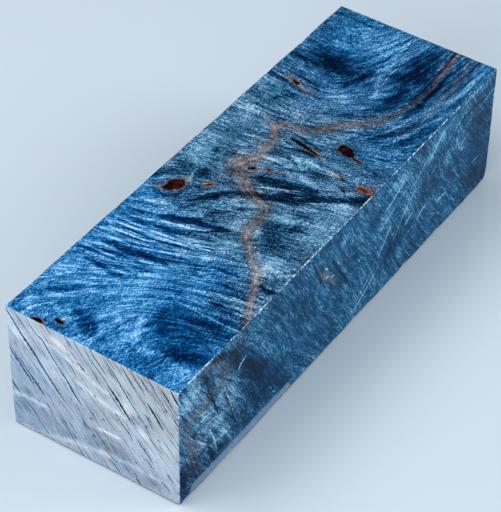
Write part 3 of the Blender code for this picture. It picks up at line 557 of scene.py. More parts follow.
NEAR_END_FIGURE = Figure(
    patches=patches(
        (0, 0, 30, 8, -0.15), (18, 7, 8, 8, -0.15), (18, 22, 7, 8, -0.15, 40), (-18, 33, 8, 5, -0.2),
        (-3, 7.4, 5, 2.6, -0.35), (18.5, 27.5, 5, 2.2, 0.7, 42), (21.6, 32, 2, 2.4, 0.45),
        (8.2, 31.3, 2.4, 1, 0.5, 25), (14, 31.6, 3.4, 1, 0.3, 30), (-8.6, 22.6, 1.5, 1.4, 0.35),
        (-12.2, 17.4, 2.6, 0.9, 0.6, 20), (-18, 12, 4, 5, 0.2), (0, 24, 5, 3, 0.12, 30),
        (15.6, 24.6, 1.1, 1.8, -0.5, -38), (-5, 7.8, 4.2, 1.8, -0.4), (10, 7, 9, 4, -0.3),
        (20, 11.4, 3.4, 1, -0.3), (20, 2.6, 3.4, 2.4, -0.2), (-16, 3, 5, 1.8, -0.3), (0, 14, 6, 3, -0.08),
        (16, 18, 3, 3, 0.1), (19, 7.4, 2.4, 1.2, -0.35, 30),
    ),
    bands=bands(
        (0.5, 16, 31.4, 0.3, 10, 29.4, 0.5, 4, 27.2, 0.6, -1, 24.8, 0.6, -5.4, 23.8, 0.4),
        (0.55, 3.6, 22.6, 0.4, 0, 21.4, 0.6, -4, 20, 0.6, -6.4, 19.6, 0.5),
        (0.75, 23, 9.2, 0.5, 19.6, 10.1, 0.5, 15, 10.1, 0.45, 12.2, 9.8, 0.3),
        (0.8, -0.8, 11.9, 0.2, -4, 11.8, 0.4, -6.8, 11.7, 0.2),
        (0.5, 12.6, 1.5, 0.4, 9, 2.4, 0.6, 5, 3.6, 0.8, -1, 4.4, 0.8, -3, 5, 0.5),
        (0.4, -4, 5.4, 0.5, -9, 5.2, 0.5, -15, 5, 0.5, -20, 4.8, 0.3),
        (0.3, 10, 24.8, 0.4, 14, 23.8, 0.7, 12, 22.8, 0.4),
        (-0.35, 2.6, 10.2, 0.4, -2, 10.4, 0.5, -7.6, 9.6, 0.4),
    ),
)

FIGURES = {
    Face.TOP: TOP_FIGURE,
    Face.FRONT: FRONT_FIGURE,
    Face.BACK: BACK_FIGURE,
    Face.UNDERSIDE: UNDERSIDE_FIGURE,
    Face.FAR_END: FAR_END_FIGURE,
    Face.NEAR_END: NEAR_END_FIGURE,
}

TOP_POCKETS = pockets(
    (0.12, 1.2, -16.4, 18.7, -15.9, 18, -15, 17.8, -13.5, 18, -12.5, 17.2, -11.8, 16, -11.9, 14.7, -13.3,
    14.2, -14.7, 14.5, -15.9, 15.4, -16.7, 16.4, -16.7, 17.6),
    (0.15, 0.9, -10.8, 10.9, -10.1, 10.8, -9.1, 10.1, -8.5, 9.3, -9, 9.1, -9.9, 9.7, -10.5, 10.3),
    (0, 0.9, 0.2, 6.4, 0.8, 6.2, 1.3, 5.3, 1.4, 4.4, 1, 4.3, 0.5, 5.1, 0.1, 5.8),
    (0.06, 0.6, 2.5, 2.4, 2.9, 1.8, 2.9, 0.8, 2.5, 1, 2.3, 1.8),
    (0, 0.4, 15.3, 3.9, 15.75, 3.4, 15.5, 1.4, 15.1, -1, 14.5, -2.8, 14, -4.8, 13.6, -5.4, 13.5, -3.4,
    13.85, -1, 14.25, 1.1, 14.75, 3),
    (0.05, 0.25, 19.7, -6.7, 20.35, -7.15, 20.5, -8.8, 20, -10.1, 19.1, -11, 18.2, -11.5, 17.3, -11.2, 17,
    -10, 17.35, -8.6, 18.1, -7.2, 18.8, -6.8),
    (0, 0.6, 17.9, -11.2, 17.7, -12.6, 17.1, -14.4, 16.7, -14.6, 16.9, -12.8, 17.3, -11.4),
    (1, 0.4, 9, -17.8, 9.8, -18.4, 10.15, -19.9, 10.05, -21.5, 9.3, -22.1, 8.5, -21.3, 8.15, -19.8, 8.4,
    -18.4), (0.14, 0.7, 34.4, 15.5, 34.8, 14.6, 34.2, 13.3, 33.3, 13.4, 33.2, 14.4, 33.8, 15.4),
    (0.04, 0.5, -67.5, 15.6, -66.8, 15.6, -66.3, 14.6, -66.4, 13.2, -67, 12.5, -67.5, 13),
    (0.06, 0.6, -64.5, 11.6, -64, 11, -64.4, 9.2, -65.1, 8.7, -65.4, 9.6, -65, 10.9),
    (0.08, 0.3, 6.4, -15.5, 6.5, -16.1, 6, -16.9, 5.6, -16.7, 5.8, -15.8),
    (0, 0.3, 9.7, -12.9, 9.9, -13.5, 9.5, -14.3, 9.2, -13.9, 9.4, -13.2),
)

TOP_LINES = fine_lines(
    (0.9, 0.75, -67.4, 18, -65.5, 18.1, -63, 16.8, -61, 15),
    (0.4, 0.4, -66.6, 20.4, -64, 20.3, -61.5, 19.8), (0.5, 0.9, -65.9, 1.95, -64, 1.55),
    (0.3, 0.5, -67.2, 2.6, -65.9, 1.95), (0.4, 0.8, -62.5, 3.6, -61.2, 4.4),
    (0.3, 0.4, -58.2, -1.6, -55.8, 1.4, -55.4, 4.4), (0.35, 0.5, -56.6, 14, -53.6, 11.4, -51, 9.6),
    (0.3, 0.4, -57.8, 16.6, -56, 14.4), (0.35, 0.35, -50.4, -1.4, -47, -2.4, -45, -4),
    (0.3, 0.5, -15.6, 11.7, -13.6, 9.8, -11.6, 8.2), (0.3, 0.5, -14.2, 8.5, -11, 6.9),
    (0.5, 0.6, -15.8, 22.2, -14.6, 20.6, -13.2, 19.2), (0.3, 0.4, -10.8, 22.4, -9.4, 19.8),
    (0.7, 0.6, -12.2, 14.8, -10.2, 14.5, -8.4, 15.3), (0.7, 0.5, -17.4, 20, -18.4, 22.5),
    (0.32, 0.95, -4.3, 0.8, -3, -1.2, -1.8, -3.8, -0.8, -5.8, 0.4, -8),
    (0.34, 0.95, -2.1, -8.1, -1, -9.8, 0.2, -11.2), (0.28, 0.55, 1.2, -12.6, 2.6, -13.6, 3.8, -14.8),
    (0.5, 0.6, -2.3, -11.4, -1.1, -13.4, 0.3, -15.3), (0.25, 0.5, -4.8, -7.6, -3.2, -10.2),
    (0.32, 0.6, 8.4, 10.4, 10.4, 11.3, 12.4, 11.2, 14, 10.6), (0.3, 0.4, 3.4, 3.6, 2.6, 5.4, 1.4, 7),
    (0.4, 0.5, 13.3, 5.4, 12.8, 3, 12.6, 0.6), (0.35, 0.5, 17.4, 5.4, 17.9, 2.4, 17.2, -1.4),
    (0.3, 0.4, 15.9, 4.6, 15.5, 1, 14.8, -2), (0.35, 0.6, 16.8, 17.2, 18.2, 18.2, 19.6, 18.8),
    (0.35, 0.6, 18.3, 17.6, 20.9, 17.7), (0.35, 0.6, 18.2, 14.8, 19.4, 15.6, 20.6, 15.6),
    (0.3, 0.5, 17.2, 12.6, 18.8, 13.8), (0.3, 0.35, 14, 17.2, 16, 18.4, 18, 20.4),
    (0.3, 0.75, 44, -3.3, 47, -2.6, 51, -2.35, 58.5, -2.6), (0.25, 0.6, 49.6, -1, 55, -0.9, 60.4, -1.3),
    (0.26, 0.6, 54.6, 0.45, 60, 0.25, 67.5, 0.85), (0.26, 0.6, 60, -5.1, 66.8, -4.9),
    (0.24, 0.4, 61, -9.2, 67.4, -9), (0.3, 0.5, 62.6, -12.5, 64.8, -15.4),
    (0.3, 0.4, 34.4, -7, 35.6, -8.2, 36.6, -8.6), (0.3, 0.3, 21, 11, 20.4, 14, 20.8, 18),
    (0.34, -1.3, -65.4, -12.5, -63.8, -13.6, -62, -14.3, -60.4, -14, -58.8, -13.3),
    (0.25, -0.4, -52, 5.3, -47, 4.9, -43.5, 5.6), (0.3, -0.4, 22, -3, 24, -5, 26, -6.4),
    (0.3, -0.5, 40, 10.1, 44, 9.8, 48, 9.9),
)

FRONT_LINES = fine_lines(
    (0.7, 0.6, 3, 3.2, 6.5, 5.2, 10.4, 7.4, 14.4, 10.2), (0.5, 0.5, 5.4, 6.8, 8.4, 8.6, 12, 10.8),
    (0.6, 0.8, 15.2, 25.4, 18, 26.1, 21, 27.5, 23.6, 28.8),
    (0.6, 0.65, 13.1, 12.8, 15, 14.4, 16.8, 16.8, 18.4, 18.6),
    (0.55, 0.55, 20.2, 13, 22.2, 15.4, 24, 18, 26.6, 20.2, 29.4, 21.8),
    (0.6, 0.85, 25, 13.9, 26.6, 14.9, 28.6, 15.8), (0.7, 0.85, 31.4, 11.6, 33, 12.9, 35.4, 13.6),
    (0.6, 0.75, 41.2, 10.1, 42.6, 10.8, 45.4, 10.5), (0.4, 0.45, 47.4, 15.5, 50.2, 15.8),
    (0.5, 0.7, 58.4, 11.1, 61.2, 11.5), (0.4, 0.55, 61.6, 20.4, 67.2, 20.3),
    (0.34, 0.45, 59.2, 26.2, 63.2, 26.1), (0.7, 0.55, 60.6, 27.6, 64, 28.6, 67.4, 29.3),
    (0.5, 0.6, 50, 33.4, 55, 33.9, 60, 34.2), (0.5, 0.45, 41.8, 26.7, 46, 28, 50.4, 29.7),
    (1.1, 0.3, 35, 26.5, 38, 29.3, 41, 31.5, 47, 32.6), (0.5, 0.5, 14.5, 21.6, 17.4, 22.4, 20.6, 24),
    (0.5, 0.45, 15.4, 29.4, 18, 30.6, 20.6, 32), (0.6, 0.4, 22, 24.4, 25, 25.4, 28.4, 27.2),
    (0.6, 0.35, 29.4, 24.6, 32, 26.6, 34.4, 28.8), (0.5, 0.35, 36.4, 21.4, 38.6, 22.6, 41, 23),
    (0.5, 0.45, 25.4, 9.4, 27.4, 10.6, 29.6, 11), (0.5, 0.4, 36.2, 6.4, 38.4, 7.4, 40.6, 7.6),
    (0.5, 0.4, 47.4, 7.2, 49.6, 7.9, 51.8, 7.6), (0.5, 0.35, 51, 21.6, 54, 22.4, 57, 22.4),
    (0.4, 0.4, 63, 15.6, 65.4, 16, 67.4, 15.8), (0.5, 0.35, 52.6, 25.6, 55.4, 26.6, 58, 27),
    (0.4, 0.7, -60, 21.5, -58.6, 21.2, -57, 20.8), (0.4, 0.7, -53, 21.4, -52, 21.6, -51, 21.7),
    (0.45, -0.9, -58, 27, -56, 23, -54, 20), (0.36, -0.6, -65.6, 14, -64, 8, -62.4, 2.4),
    (0.36, -0.6, -64.2, 13.6, -62.6, 8, -61, 2.4), (0.36, -0.6, -62.8, 13.2, -61.2, 7.6, -59.6, 2.2),
    (0.36, -0.5, -61.2, 12.8, -59.6, 7, -58.2, 2.2), (0.6, -1.2, -63, 17.9, -62.3, 17, -61.9, 15.9),
    (0.7, 1.1, -45.4, 23.7, -44, 24.7, -42.7, 25.3), (0.5, 0.6, -33.2, 8.2, -32.2, 6.8),
    (0.4, 0.6, -31.8, 5.3, -30.4, 4.5), (0.36, 0.45, -61.4, 19.2, -57.6, 19.4, -54.6, 18.6),
    (0.36, 0.4, -58.4, 16.8, -54.6, 16.4, -52.4, 15.4), (0.36, 0.5, -55, 8.8, -51, 8.4, -47.8, 8.2),
    (0.7, 0.9, -10.8, 26.6, -9.6, 25.9), (0.7, 1, -10.6, 23.8, -9.2, 23.5),
    (0.7, 0.8, -8.4, 22.4, -6.8, 21.9), (0.34, -1, -66.9, 27.8, -65, 24.6, -63.4, 22.6),
    (0.7, -1.1, -61.4, 9.2, -59.6, 9.4, -57.4, 10),
    (0.7, -1.6, 50.4, 29.1, 54.6, 29.7, 58.4, 29.6, 62.2, 28.9), (0.4, -0.5, 33.8, 9.6, 35.6, 8.4),
    (0.3, -0.5, -67, 21, -64.6, 15.4),
)

END_CREAMS = fine_lines(
    (1.4, 0.6, 10, 32, 8.2, 31.4, 6.4, 30.8), (1.1, 0.65, 5, 29.2, 3.6, 28.4, 1.6, 27.3),
    (1.3, 0.4, -8.7, 23.4, -9.6, 21.4), (1, 0.55, -6.4, 19.8, -8.2, 19.3),
    (0.6, 0.9, -1.2, 11.9, -6.4, 11.8), (1.5, 0.6, -2, 4.7, -3.6, 4.2),
    (0.8, 0.5, 1, 2.9, 5.4, 3.2, 9, 2.2), (0.6, 0.6, 16, 0.7, 20, 0.8), (1.6, 0.3, -5.6, 16.2, -7.4, 15.4),
)


DRAWN = {Face.TOP: TOP_LINES, Face.FRONT: FRONT_LINES}

STRIPED = patches(
    (-36, 10, 10, 13, 1.1), (-38, -15, 7, 7, 0.8), (56, -10, 11, 12, 0.8), (56, 1, 12, 5, 0.5),
    (11, 0, 8, 7, 0.6), (20, 14, 5, 9, 0.4), (24, -14, 9, 5, 0.5),
)

LINE_LAYERS = 5
SCORE_LAYERS = 6


@dataclass(frozen=True)
class Guide:
    """The grain's direction at one spot of the top, in degrees from the x axis."""

    x: float
    y: float
    angle: float


def guides(*rows: tuple[float, float, float]) -> tuple[Guide, ...]:
    """Guides from rows of a spot and an angle."""
    return tuple(Guide(*row) for row in rows)


GRAIN_GUIDES = guides(
    (-62, 15, 158), (-54, 12, 134), (-56, 19, 122), (-50, 8, 109), (-48, 17, 98), (-62, 4, 172),
    (-52, 1, 170), (-46, -3, 102), (-44, -10, 91), (-63, -5, 185), (-56, -10, 165), (-55, -18, 120),
    (-63, -13, 188), (-63, -20, 160), (-48, -19, 100), (-44, 10, 95), (-46, 4, 99), (-41, 1, 98),
    (-36, 12, 96), (-36, 0, 100), (-47, -9, 96), (-40, 18, 95), (-39, 6, 95), (-40, -4, 96), (-39, -15, 92),
    (-34, 18, 97), (-34, 6, 103), (-33, -4, 108), (-34, -18, 92), (-28, 12, 104), (-28, 1, 116),
    (-27, -8, 110), (-28, -18, 96), (-24, 18, 112), (-21, 8, 112), (-19, 0, 112), (-20, -8, 112),
    (-20, -18, 95), (-15, 10, 132), (-10, 4, 132), (-6, -2, 127), (-1, -9, 122), (4, -16, 116),
    (7, -21, 110), (-12, -8, 112), (-10, -17, 105), (-12, 19, 145), (-5, 16, 110), (4, 17, 90),
    (12, 17, 88), (0, 10, 100), (4, 2, 110), (3, -5, 114), (8, 1, 96), (8, -8, 94), (13, 1, 78),
    (12, -8, 80), (10, -16, 86), (9, -21, 90), (17, -6, 73), (17, -14, 70), (18, -20, 90), (18, 16, 92),
    (21, 12, 100), (22, 5, 116), (23, -4, 128), (27, -4, 138), (25, -13, 122), (28, -19, 140),
    (34, -10, 148), (34, -17, 152), (42, -12, 170), (42, -18, 168), (50, -15, 178), (58, -15, 180),
    (66, -16, 181), (50, -9, 175), (60, -8, 178), (28, 12, 98), (30, 3, 128), (34, 14, 74), (40, 15, 90),
    (46, 15, 95), (45, 5, 145), (52, 12, 100), (60, 15, 92), (66, 15, 90), (66, 9, 95), (60, 7, 165),
    (66, 4, 178), (66, 1, 180), (60, 1, 180), (55, 2, 170), (50, 1, 168), (40, -2, 155), (50, -4, 172),
    (58, -4, 180), (66, -5, 182),
)


def catmull_rom(points: np.ndarray, steps: int) -> np.ndarray:
    """A smooth route through points.

    Between two points p1 and p2 the curve is the cubic whose slopes there are half of p2 - p0 and
    half of p3 - p1. The end points are repeated.

    Args:
        points: The points to pass through, one a row, with any number of columns.
        steps: How many stretches each span is cut into.

    Returns:
        The points of the smooth route, with the same columns.
    """
    padded = np.vstack([points[:1], points, points[-1:]])
    p0, p1, p2, p3 = (padded[i:len(padded) - 3 + i, None, :] for i in range(4))
    t = (np.arange(steps) / steps)[None, :, None]
    curve = 0.5 * (2 * p1 + (p2 - p0) * t + (2 * p0 - 5 * p1 + 4 * p2 - p3) * t**2
                   + (3 * p1 - 3 * p2 + p3 - p0) * t**3)
    return np.vstack([curve.reshape(-1, points.shape[1]), points[-1:]])


def waves(x: np.ndarray, y: np.ndarray, rows: tuple[tuple[float, ...], ...]) -> np.ndarray:
    """The sum of size * sin(x / long + y / wide + start), each row giving these four numbers."""
    return sum(size * np.sin(x / long + y / wide + start) for size, long, wide, start in rows)


def route_ratio(spots: np.ndarray, route: np.ndarray) -> tuple[np.ndarray, np.ndarray, np.ndarray]:
    """How far spots lie from a route, counted in the route's half widths.

    Each spot is projected on every stretch of the route, kept between the stretch's ends, and its
    distance is divided by the half width there. The smallest ratio counts.

    Args:
        spots: The spots (n, 2).
        route: The route's points with their half widths (m, 3).

    Returns:
        The ratio of each spot, how far along the route, from 0 to 1, it was measured, and the
        distance itself, positive on the route's left.
    """
    start, run = route[:-1], np.diff(route, axis=0)
    length2 = np.maximum((run[:, :2] ** 2).sum(1), TINY)
    offset = spots[:, None, :] - start[None, :, :2]
    share = np.clip((offset * run[:, :2]).sum(2) / length2, 0, 1)
    gap = np.linalg.norm(offset - share[..., None] * run[:, :2], axis=2)
    ratio = gap / (start[:, 2] + share * run[:, 2])
    best = ratio.argmin(1)
    rows = np.arange(len(spots))
    near = offset[rows, best]
    left = run[best, 0] * near[:, 1] - run[best, 1] * near[:, 0] > 0
    return ratio[rows, best], (best + share[rows, best]) / len(run), np.where(left, 1, -1) * gap[rows, best]


def smooth_step(value: np.ndarray, low: float, high: float) -> np.ndarray:
    """0 below low, 1 above high, and 3 s^2 - 2 s^3 of the share s between."""
    share = np.clip((value - low) / (high - low), 0, 1)
    return share * share * (3 - 2 * share)


def stroke_field(spots: np.ndarray, lines: tuple[Line | Band, ...]) -> tuple[np.ndarray, np.ndarray]:
    """Where spots lie across the nearest of some fine lines, and how strong that line is there.

    The distance is counted in half widths and is positive on the line's left and negative on its
    right, so that it passes evenly through 0 at the middle of the line between two mesh points.
    The strength fades beyond the line's tips and away from its sides, which keeps the jumps
    between the sides of different lines from showing.

    Args:
        spots: The spots (n, 2).
        lines: The lines or thin bands.

    Returns:
        The signed distance in half widths, and the strength.
    """
    stretches = []
    for line in lines:
        route = line.route(STEPS)
        tips = np.zeros((len(route) - 1, 2))
        tips[0, 0] = tips[-1, 1] = 1
        stretches.append((
            route[:-1, :2], np.diff(route[:, :2], axis=0), (route[:-1, 2] + route[1:, 2]) / 2,
            np.full(len(route) - 1, line.strength), tips,
        ))
    start, run, half, strength, tips = (np.concatenate(group) for group in zip(*stretches))
    length = np.linalg.norm(run, axis=1)
    unit = run / length[:, None]
    offset = spots[:, None, :] - start
    along = (offset * unit).sum(2)
    over = np.maximum(-along, along - length)
    across = unit[:, 0] * offset[..., 1] - unit[:, 1] * offset[..., 0]
    gap = np.hypot(across, np.maximum(over, 0))
    best = (gap / half).argmin(1)
    rows = np.arange(len(spots))
    near_start = -along[rows, best] * tips[best, 0]
    near_end = (along[rows, best] - length[best]) * tips[best, 1]
    beyond = np.maximum(near_start, near_end)
    fade = 1 - smooth_step(beyond, 0.0, TIP_FADE)
    fade *= 1 - smooth_step(gap[rows, best], *SIDE_FADE)
    signed = np.where(across[rows, best] < 0, -1, 1) * gap[rows, best] / half[best]
    return signed, strength[best] * fade


def stroke_layers(lines: tuple[Line, ...], count: int, apart: float) -> list[tuple[Line, ...]]:
    """Lines shared out among layers, so that no two in a layer come near each other.

    Each line goes to the first layer whose lines all stay farther from it than apart, or else to
    the last one.

    Args:
        lines: The lines.
        count: How many layers there are.
        apart: The least distance between two lines of a layer.

    Returns:
        The layers.
    """
    layers: list[list[Line]] = [[] for _ in range(count)]
    routes: list[list[np.ndarray]] = [[] for _ in range(count)]
    for line in lines:
        route = line.route(APART_STEPS)[:, :2]
        for layer, others in zip(layers, routes):
            near = [np.linalg.norm(route[:, None] - other, axis=2).min() < apart for other in others]
            if not any(near) or layer is layers[-1]:
                layer.append(line)
                others.append(route)
                break
    return [tuple(layer) for layer in layers]


@dataclass
class GrainField:
    """Coordinates that follow the grain of the top: along it, and across it.

    The direction at each cell is the mean of the guides' angles, weighed by exp(-(gap/reach)^2).
    The across coordinate is the smooth height field that is as level as it can be along the grain
    and rises by about 1 a millimetre across it. The along coordinate is the same with the two
    directions swapped. Both are least-squares fits on a grid, found by conjugate gradients.
    """

    guides: tuple[Guide, ...] = GRAIN_GUIDES
    low: tuple[float, float] = (-76.0, -30.0)
    cells: tuple[int, int] = (80, 34)
    cell: float = 2.0
    reach: float = 5.5
    slack: float = 0.35
    stiffness: float = 0.1
    hold: float = 1e-7
    rounds: int = 900
    near_enough: float = 1e-16
    outer_cells: float = 2.001
    along: np.ndarray = field(init=False)
    across: np.ndarray = field(init=False)

    def __post_init__(self) -> None:
        """Solves both coordinates."""
        angle = self._angles()
        direction = np.stack([np.cos(angle), np.sin(angle)])
        normal = np.stack([-np.sin(angle), np.cos(angle)])
        self.across = self._fit(direction, normal)
        self.along = self._fit(normal, direction)

    def _angles(self) -> np.ndarray:
        """The grain's angle in the middle of each cell, in radians."""
        nx, ny = self.cells
        x = self.low[0] + (np.arange(nx) + 0.5) * self.cell
        y = self.low[1] + (np.arange(ny) + 0.5) * self.cell
        gx, gy = (g.ravel() for g in np.meshgrid(x, y, indexing="ij"))
        spots = np.array([(g.x, g.y) for g in self.guides])
        turns = np.radians([g.angle for g in self.guides])
        gap2 = (gx[:, None] - spots[:, 0]) ** 2 + (gy[:, None] - spots[:, 1]) ** 2
        weight = np.exp(-gap2 / self.reach**2) + FAINT / (1 + gap2)
        return ((weight * turns).sum(1) / weight.sum(1)).reshape(nx, ny)

    def _slopes(self, height: np.ndarray) -> np.ndarray:
        """Each cell's slopes along x and y, from the heights at its four corners."""
        low_x, high_x = height[:-1], height[1:]
        along_x = (high_x[:, 1:] + high_x[:, :-1] - low_x[:, 1:] - low_x[:, :-1]) / (2 * self.cell)
        along_y = (high_x[:, 1:] - high_x[:, :-1] + low_x[:, 1:] - low_x[:, :-1]) / (2 * self.cell)
        return np.stack([along_x, along_y])

    def _gather(self, slopes: np.ndarray) -> np.ndarray:
        """The transpose of _slopes: what each corner gets from the cells around it."""
        nx, ny = self.cells
        corners = np.zeros((nx + 1, ny + 1))
        for di in (0, 1):
            for dj in (0, 1):
                share = (2 * di - 1) * slopes[0] + (2 * dj - 1) * slopes[1]
                corners[di:nx + di, dj:ny + dj] += share / (2 * self.cell)
        return corners

    @staticmethod
    def _bend(height: np.ndarray) -> np.ndarray:
        """The second differences along both axes, and their transpose applied to them."""
        bent = np.zeros_like(height)
        for turned, out in ((height, bent), (height.T, bent.T)):
            second = turned[2:] - 2 * turned[1:-1] + turned[:-2]
            out[2:] += second
            out[1:-1] -= 2 * second
            out[:-2] += second
        return bent

    def _fit(self, level: np.ndarray, rising: np.ndarray) -> np.ndarray:
        """The height field that stays level along one direction and rises by 1 along the other.

        It minimises (slope along level)^2 + slack (slope along rising - 1)^2 over all cells, with
        stiffness times the squared bend of each grid line, and a very weak hold on the heights
        themselves, by the usual rounds of conjugate gradients.

        Args:
            level: The direction without rise in each cell (2, nx, ny).
            rising: The direction of the rise in each cell (2, nx, ny).

        Returns:
            The heights at the grid's corners (nx + 1, ny + 1).
        """
        def applied(height: np.ndarray) -> np.ndarray:
            """The system's matrix times the heights."""
            slopes = self._slopes(height)
            flat = (level * slopes).sum(0)
            rise = (rising * slopes).sum(0)
            pulled = self._gather(level * flat + self.slack * rising * rise)
            return pulled + self.stiffness / self.cell**2 * self._bend(height) + self.hold * height

        heights = np.zeros((self.cells[0] + 1, self.cells[1] + 1))
        rest = self._gather(self.slack * rising)
        step = rest.copy()
        size = (rest * rest).sum()
        for _ in range(self.rounds):
            image = applied(step)
            reach = size / (step * image).sum()
            heights += reach * step
            rest = rest - reach * image
            new_size = (rest * rest).sum()
            if new_size < self.near_enough:
                break
            step = rest + new_size / size * step
            size = new_size
        return heights

    def sample(self, x: np.ndarray, y: np.ndarray) -> np.ndarray:
        """Both coordinates at any spots, by the Catmull-Rom cubic through the nearest 4 by 4 corners.

        Args:
            x: The spots' x.
            y: The spots' y.

        Returns:
            The along and across coordinates (n, 2).
        """
        fields = np.stack([self.along, self.across], -1)
        count = np.array(fields.shape[:2])
        place = np.stack([(x - self.low[0]) / self.cell, (y - self.low[1]) / self.cell], -1)
        place = np.clip(place, 1, count - self.outer_cells)
        base = place.astype(int)
        wx, wy = (self._weights((place - base)[:, axis]) for axis in (0, 1))
        ix = base[:, 0, None] + np.arange(-1, 3)
        iy = base[:, 1, None] + np.arange(-1, 3)
        near = fields[ix[:, :, None], iy[:, None, :]]
        return np.einsum("ni,nj,nijk->nk", wx, wy, near)

    @staticmethod
    def _weights(t: np.ndarray) -> np.ndarray:
        """The four Catmull-Rom weights at the share t of a cell."""
        return 0.5 * np.stack([
            -t + 2 * t**2 - t**3, 2 - 5 * t**2 + 3 * t**3, t + 4 * t**2 - 3 * t**3, -(t**2) + t**3,
        ], -1)


@dataclass(frozen=True)
class FaceGrid:
    """How one face is gridded: its two sizes' stations and the fineness of its middle.

    The border keeps the stations that all faces share, dense near the arrises. The middle panel has
    finer or coarser cells by a whole factor, and a ring of polygons with extra corners joins the two.
    """

    face: Face
    stations: tuple[np.ndarray, np.ndarray]
    level: float
    border: int
    finer: int = 1
    coarser: int = 1
    ring: float = 0.9

    def polygons(self) -> list[np.ndarray]:
        """All the face's polygons as arrays (count, corners, 3), facing outwards, on the square block."""
        a, b = self.stations
        flat = [self._border(a, b), *self._ring(a, b), self._panel(a, b)]
        return [self._placed(group) for group in flat]

    def _placed(self, flat: np.ndarray) -> np.ndarray:
        """Polygons of the plane (count, corners, 2) put on the face, and turned to face outwards."""
        solid = np.empty(flat.shape[:2] + (3,))
        solid[..., self.face.plane_axes[0]] = flat[..., 0]
        solid[..., self.face.plane_axes[1]] = flat[..., 1]
        solid[..., self.face.value[0]] = self.level
        return solid[:, ::-1] if self.face.turned else solid

    @staticmethod
    def _quads(a: np.ndarray, b: np.ndarray) -> np.ndarray:
        """Every cell of the grid of lines a and b, anticlockwise (len(a)-1, len(b)-1, 4, 2)."""
        ga, gb = np.meshgrid(a, b, indexing="ij")
        corner = np.stack([ga, gb], -1)
        return np.stack([corner[:-1, :-1], corner[1:, :-1], corner[1:, 1:], corner[:-1, 1:]], 2)

    def _border(self, a: np.ndarray, b: np.ndarray) -> np.ndarray:
        """The cells within the border's number of rows from an edge."""
        quads = self._quads(a, b)
        keep = np.ones(quads.shape[:2], bool)
        keep[self.border:-self.border, self.border:-self.border] = False
        return quads[keep]

    def _panel_lines(self, lines: np.ndarray) -> np.ndarray:
        """The panel's own evenly spaced lines, inside the ring."""
        inner = lines[self.border:-self.border]
        count = (len(inner) - 1) * self.finer // self.coarser
        return np.linspace(inner[0] + self.ring, inner[-1] - self.ring, count + 1)

    def _panel(self, a: np.ndarray, b: np.ndarray) -> np.ndarray:
        """The middle panel's cells."""
        return self._quads(self._panel_lines(a), self._panel_lines(b)).reshape(-1, 4, 2)

    def _ring(self, a: np.ndarray, b: np.ndarray) -> list[np.ndarray]:
        """The four strips between the border and the panel.

        Each strip runs anticlockwise. A polygon takes the outer corners of one or more border cells
        and then the inner corners of one or more panel cells, backwards.
        """
        outer_a, outer_b = a[self.border:-self.border], b[self.border:-self.border]
        inner_a, inner_b = self._panel_lines(a), self._panel_lines(b)
        strips = []
        for turn in range(4):
            run = (outer_a, inner_a) if turn % 2 == 0 else (outer_b, inner_b)
            side = (outer_b, inner_b) if turn % 2 == 0 else (outer_a, inner_a)
            edge = 0 if turn in (0, 3) else -1
            paths = []
            for line, cross in zip(run, side):
                along = line if turn < 2 else line[::-1]
                fixed = np.full(len(line), cross[edge])
                paths.append(np.stack([along, fixed] if turn % 2 == 0 else [fixed, along], -1))
            strips.append(self._strip(*paths))
        return strips

    def _strip(self, outer: np.ndarray, inner: np.ndarray) -> np.ndarray:
        """The polygons of one strip, from its outer and inner corners in running order."""
        number = np.arange(min(len(outer), len(inner)) - 1)[:, None]
        outer_step, inner_step = self.coarser, self.finer
        outer_corners = number * outer_step + np.arange(outer_step + 1)
        inner_corners = (number + 1) * inner_step - np.arange(inner_step + 1)
        return np.concatenate([outer[outer_corners], inner[inner_corners]], 1)


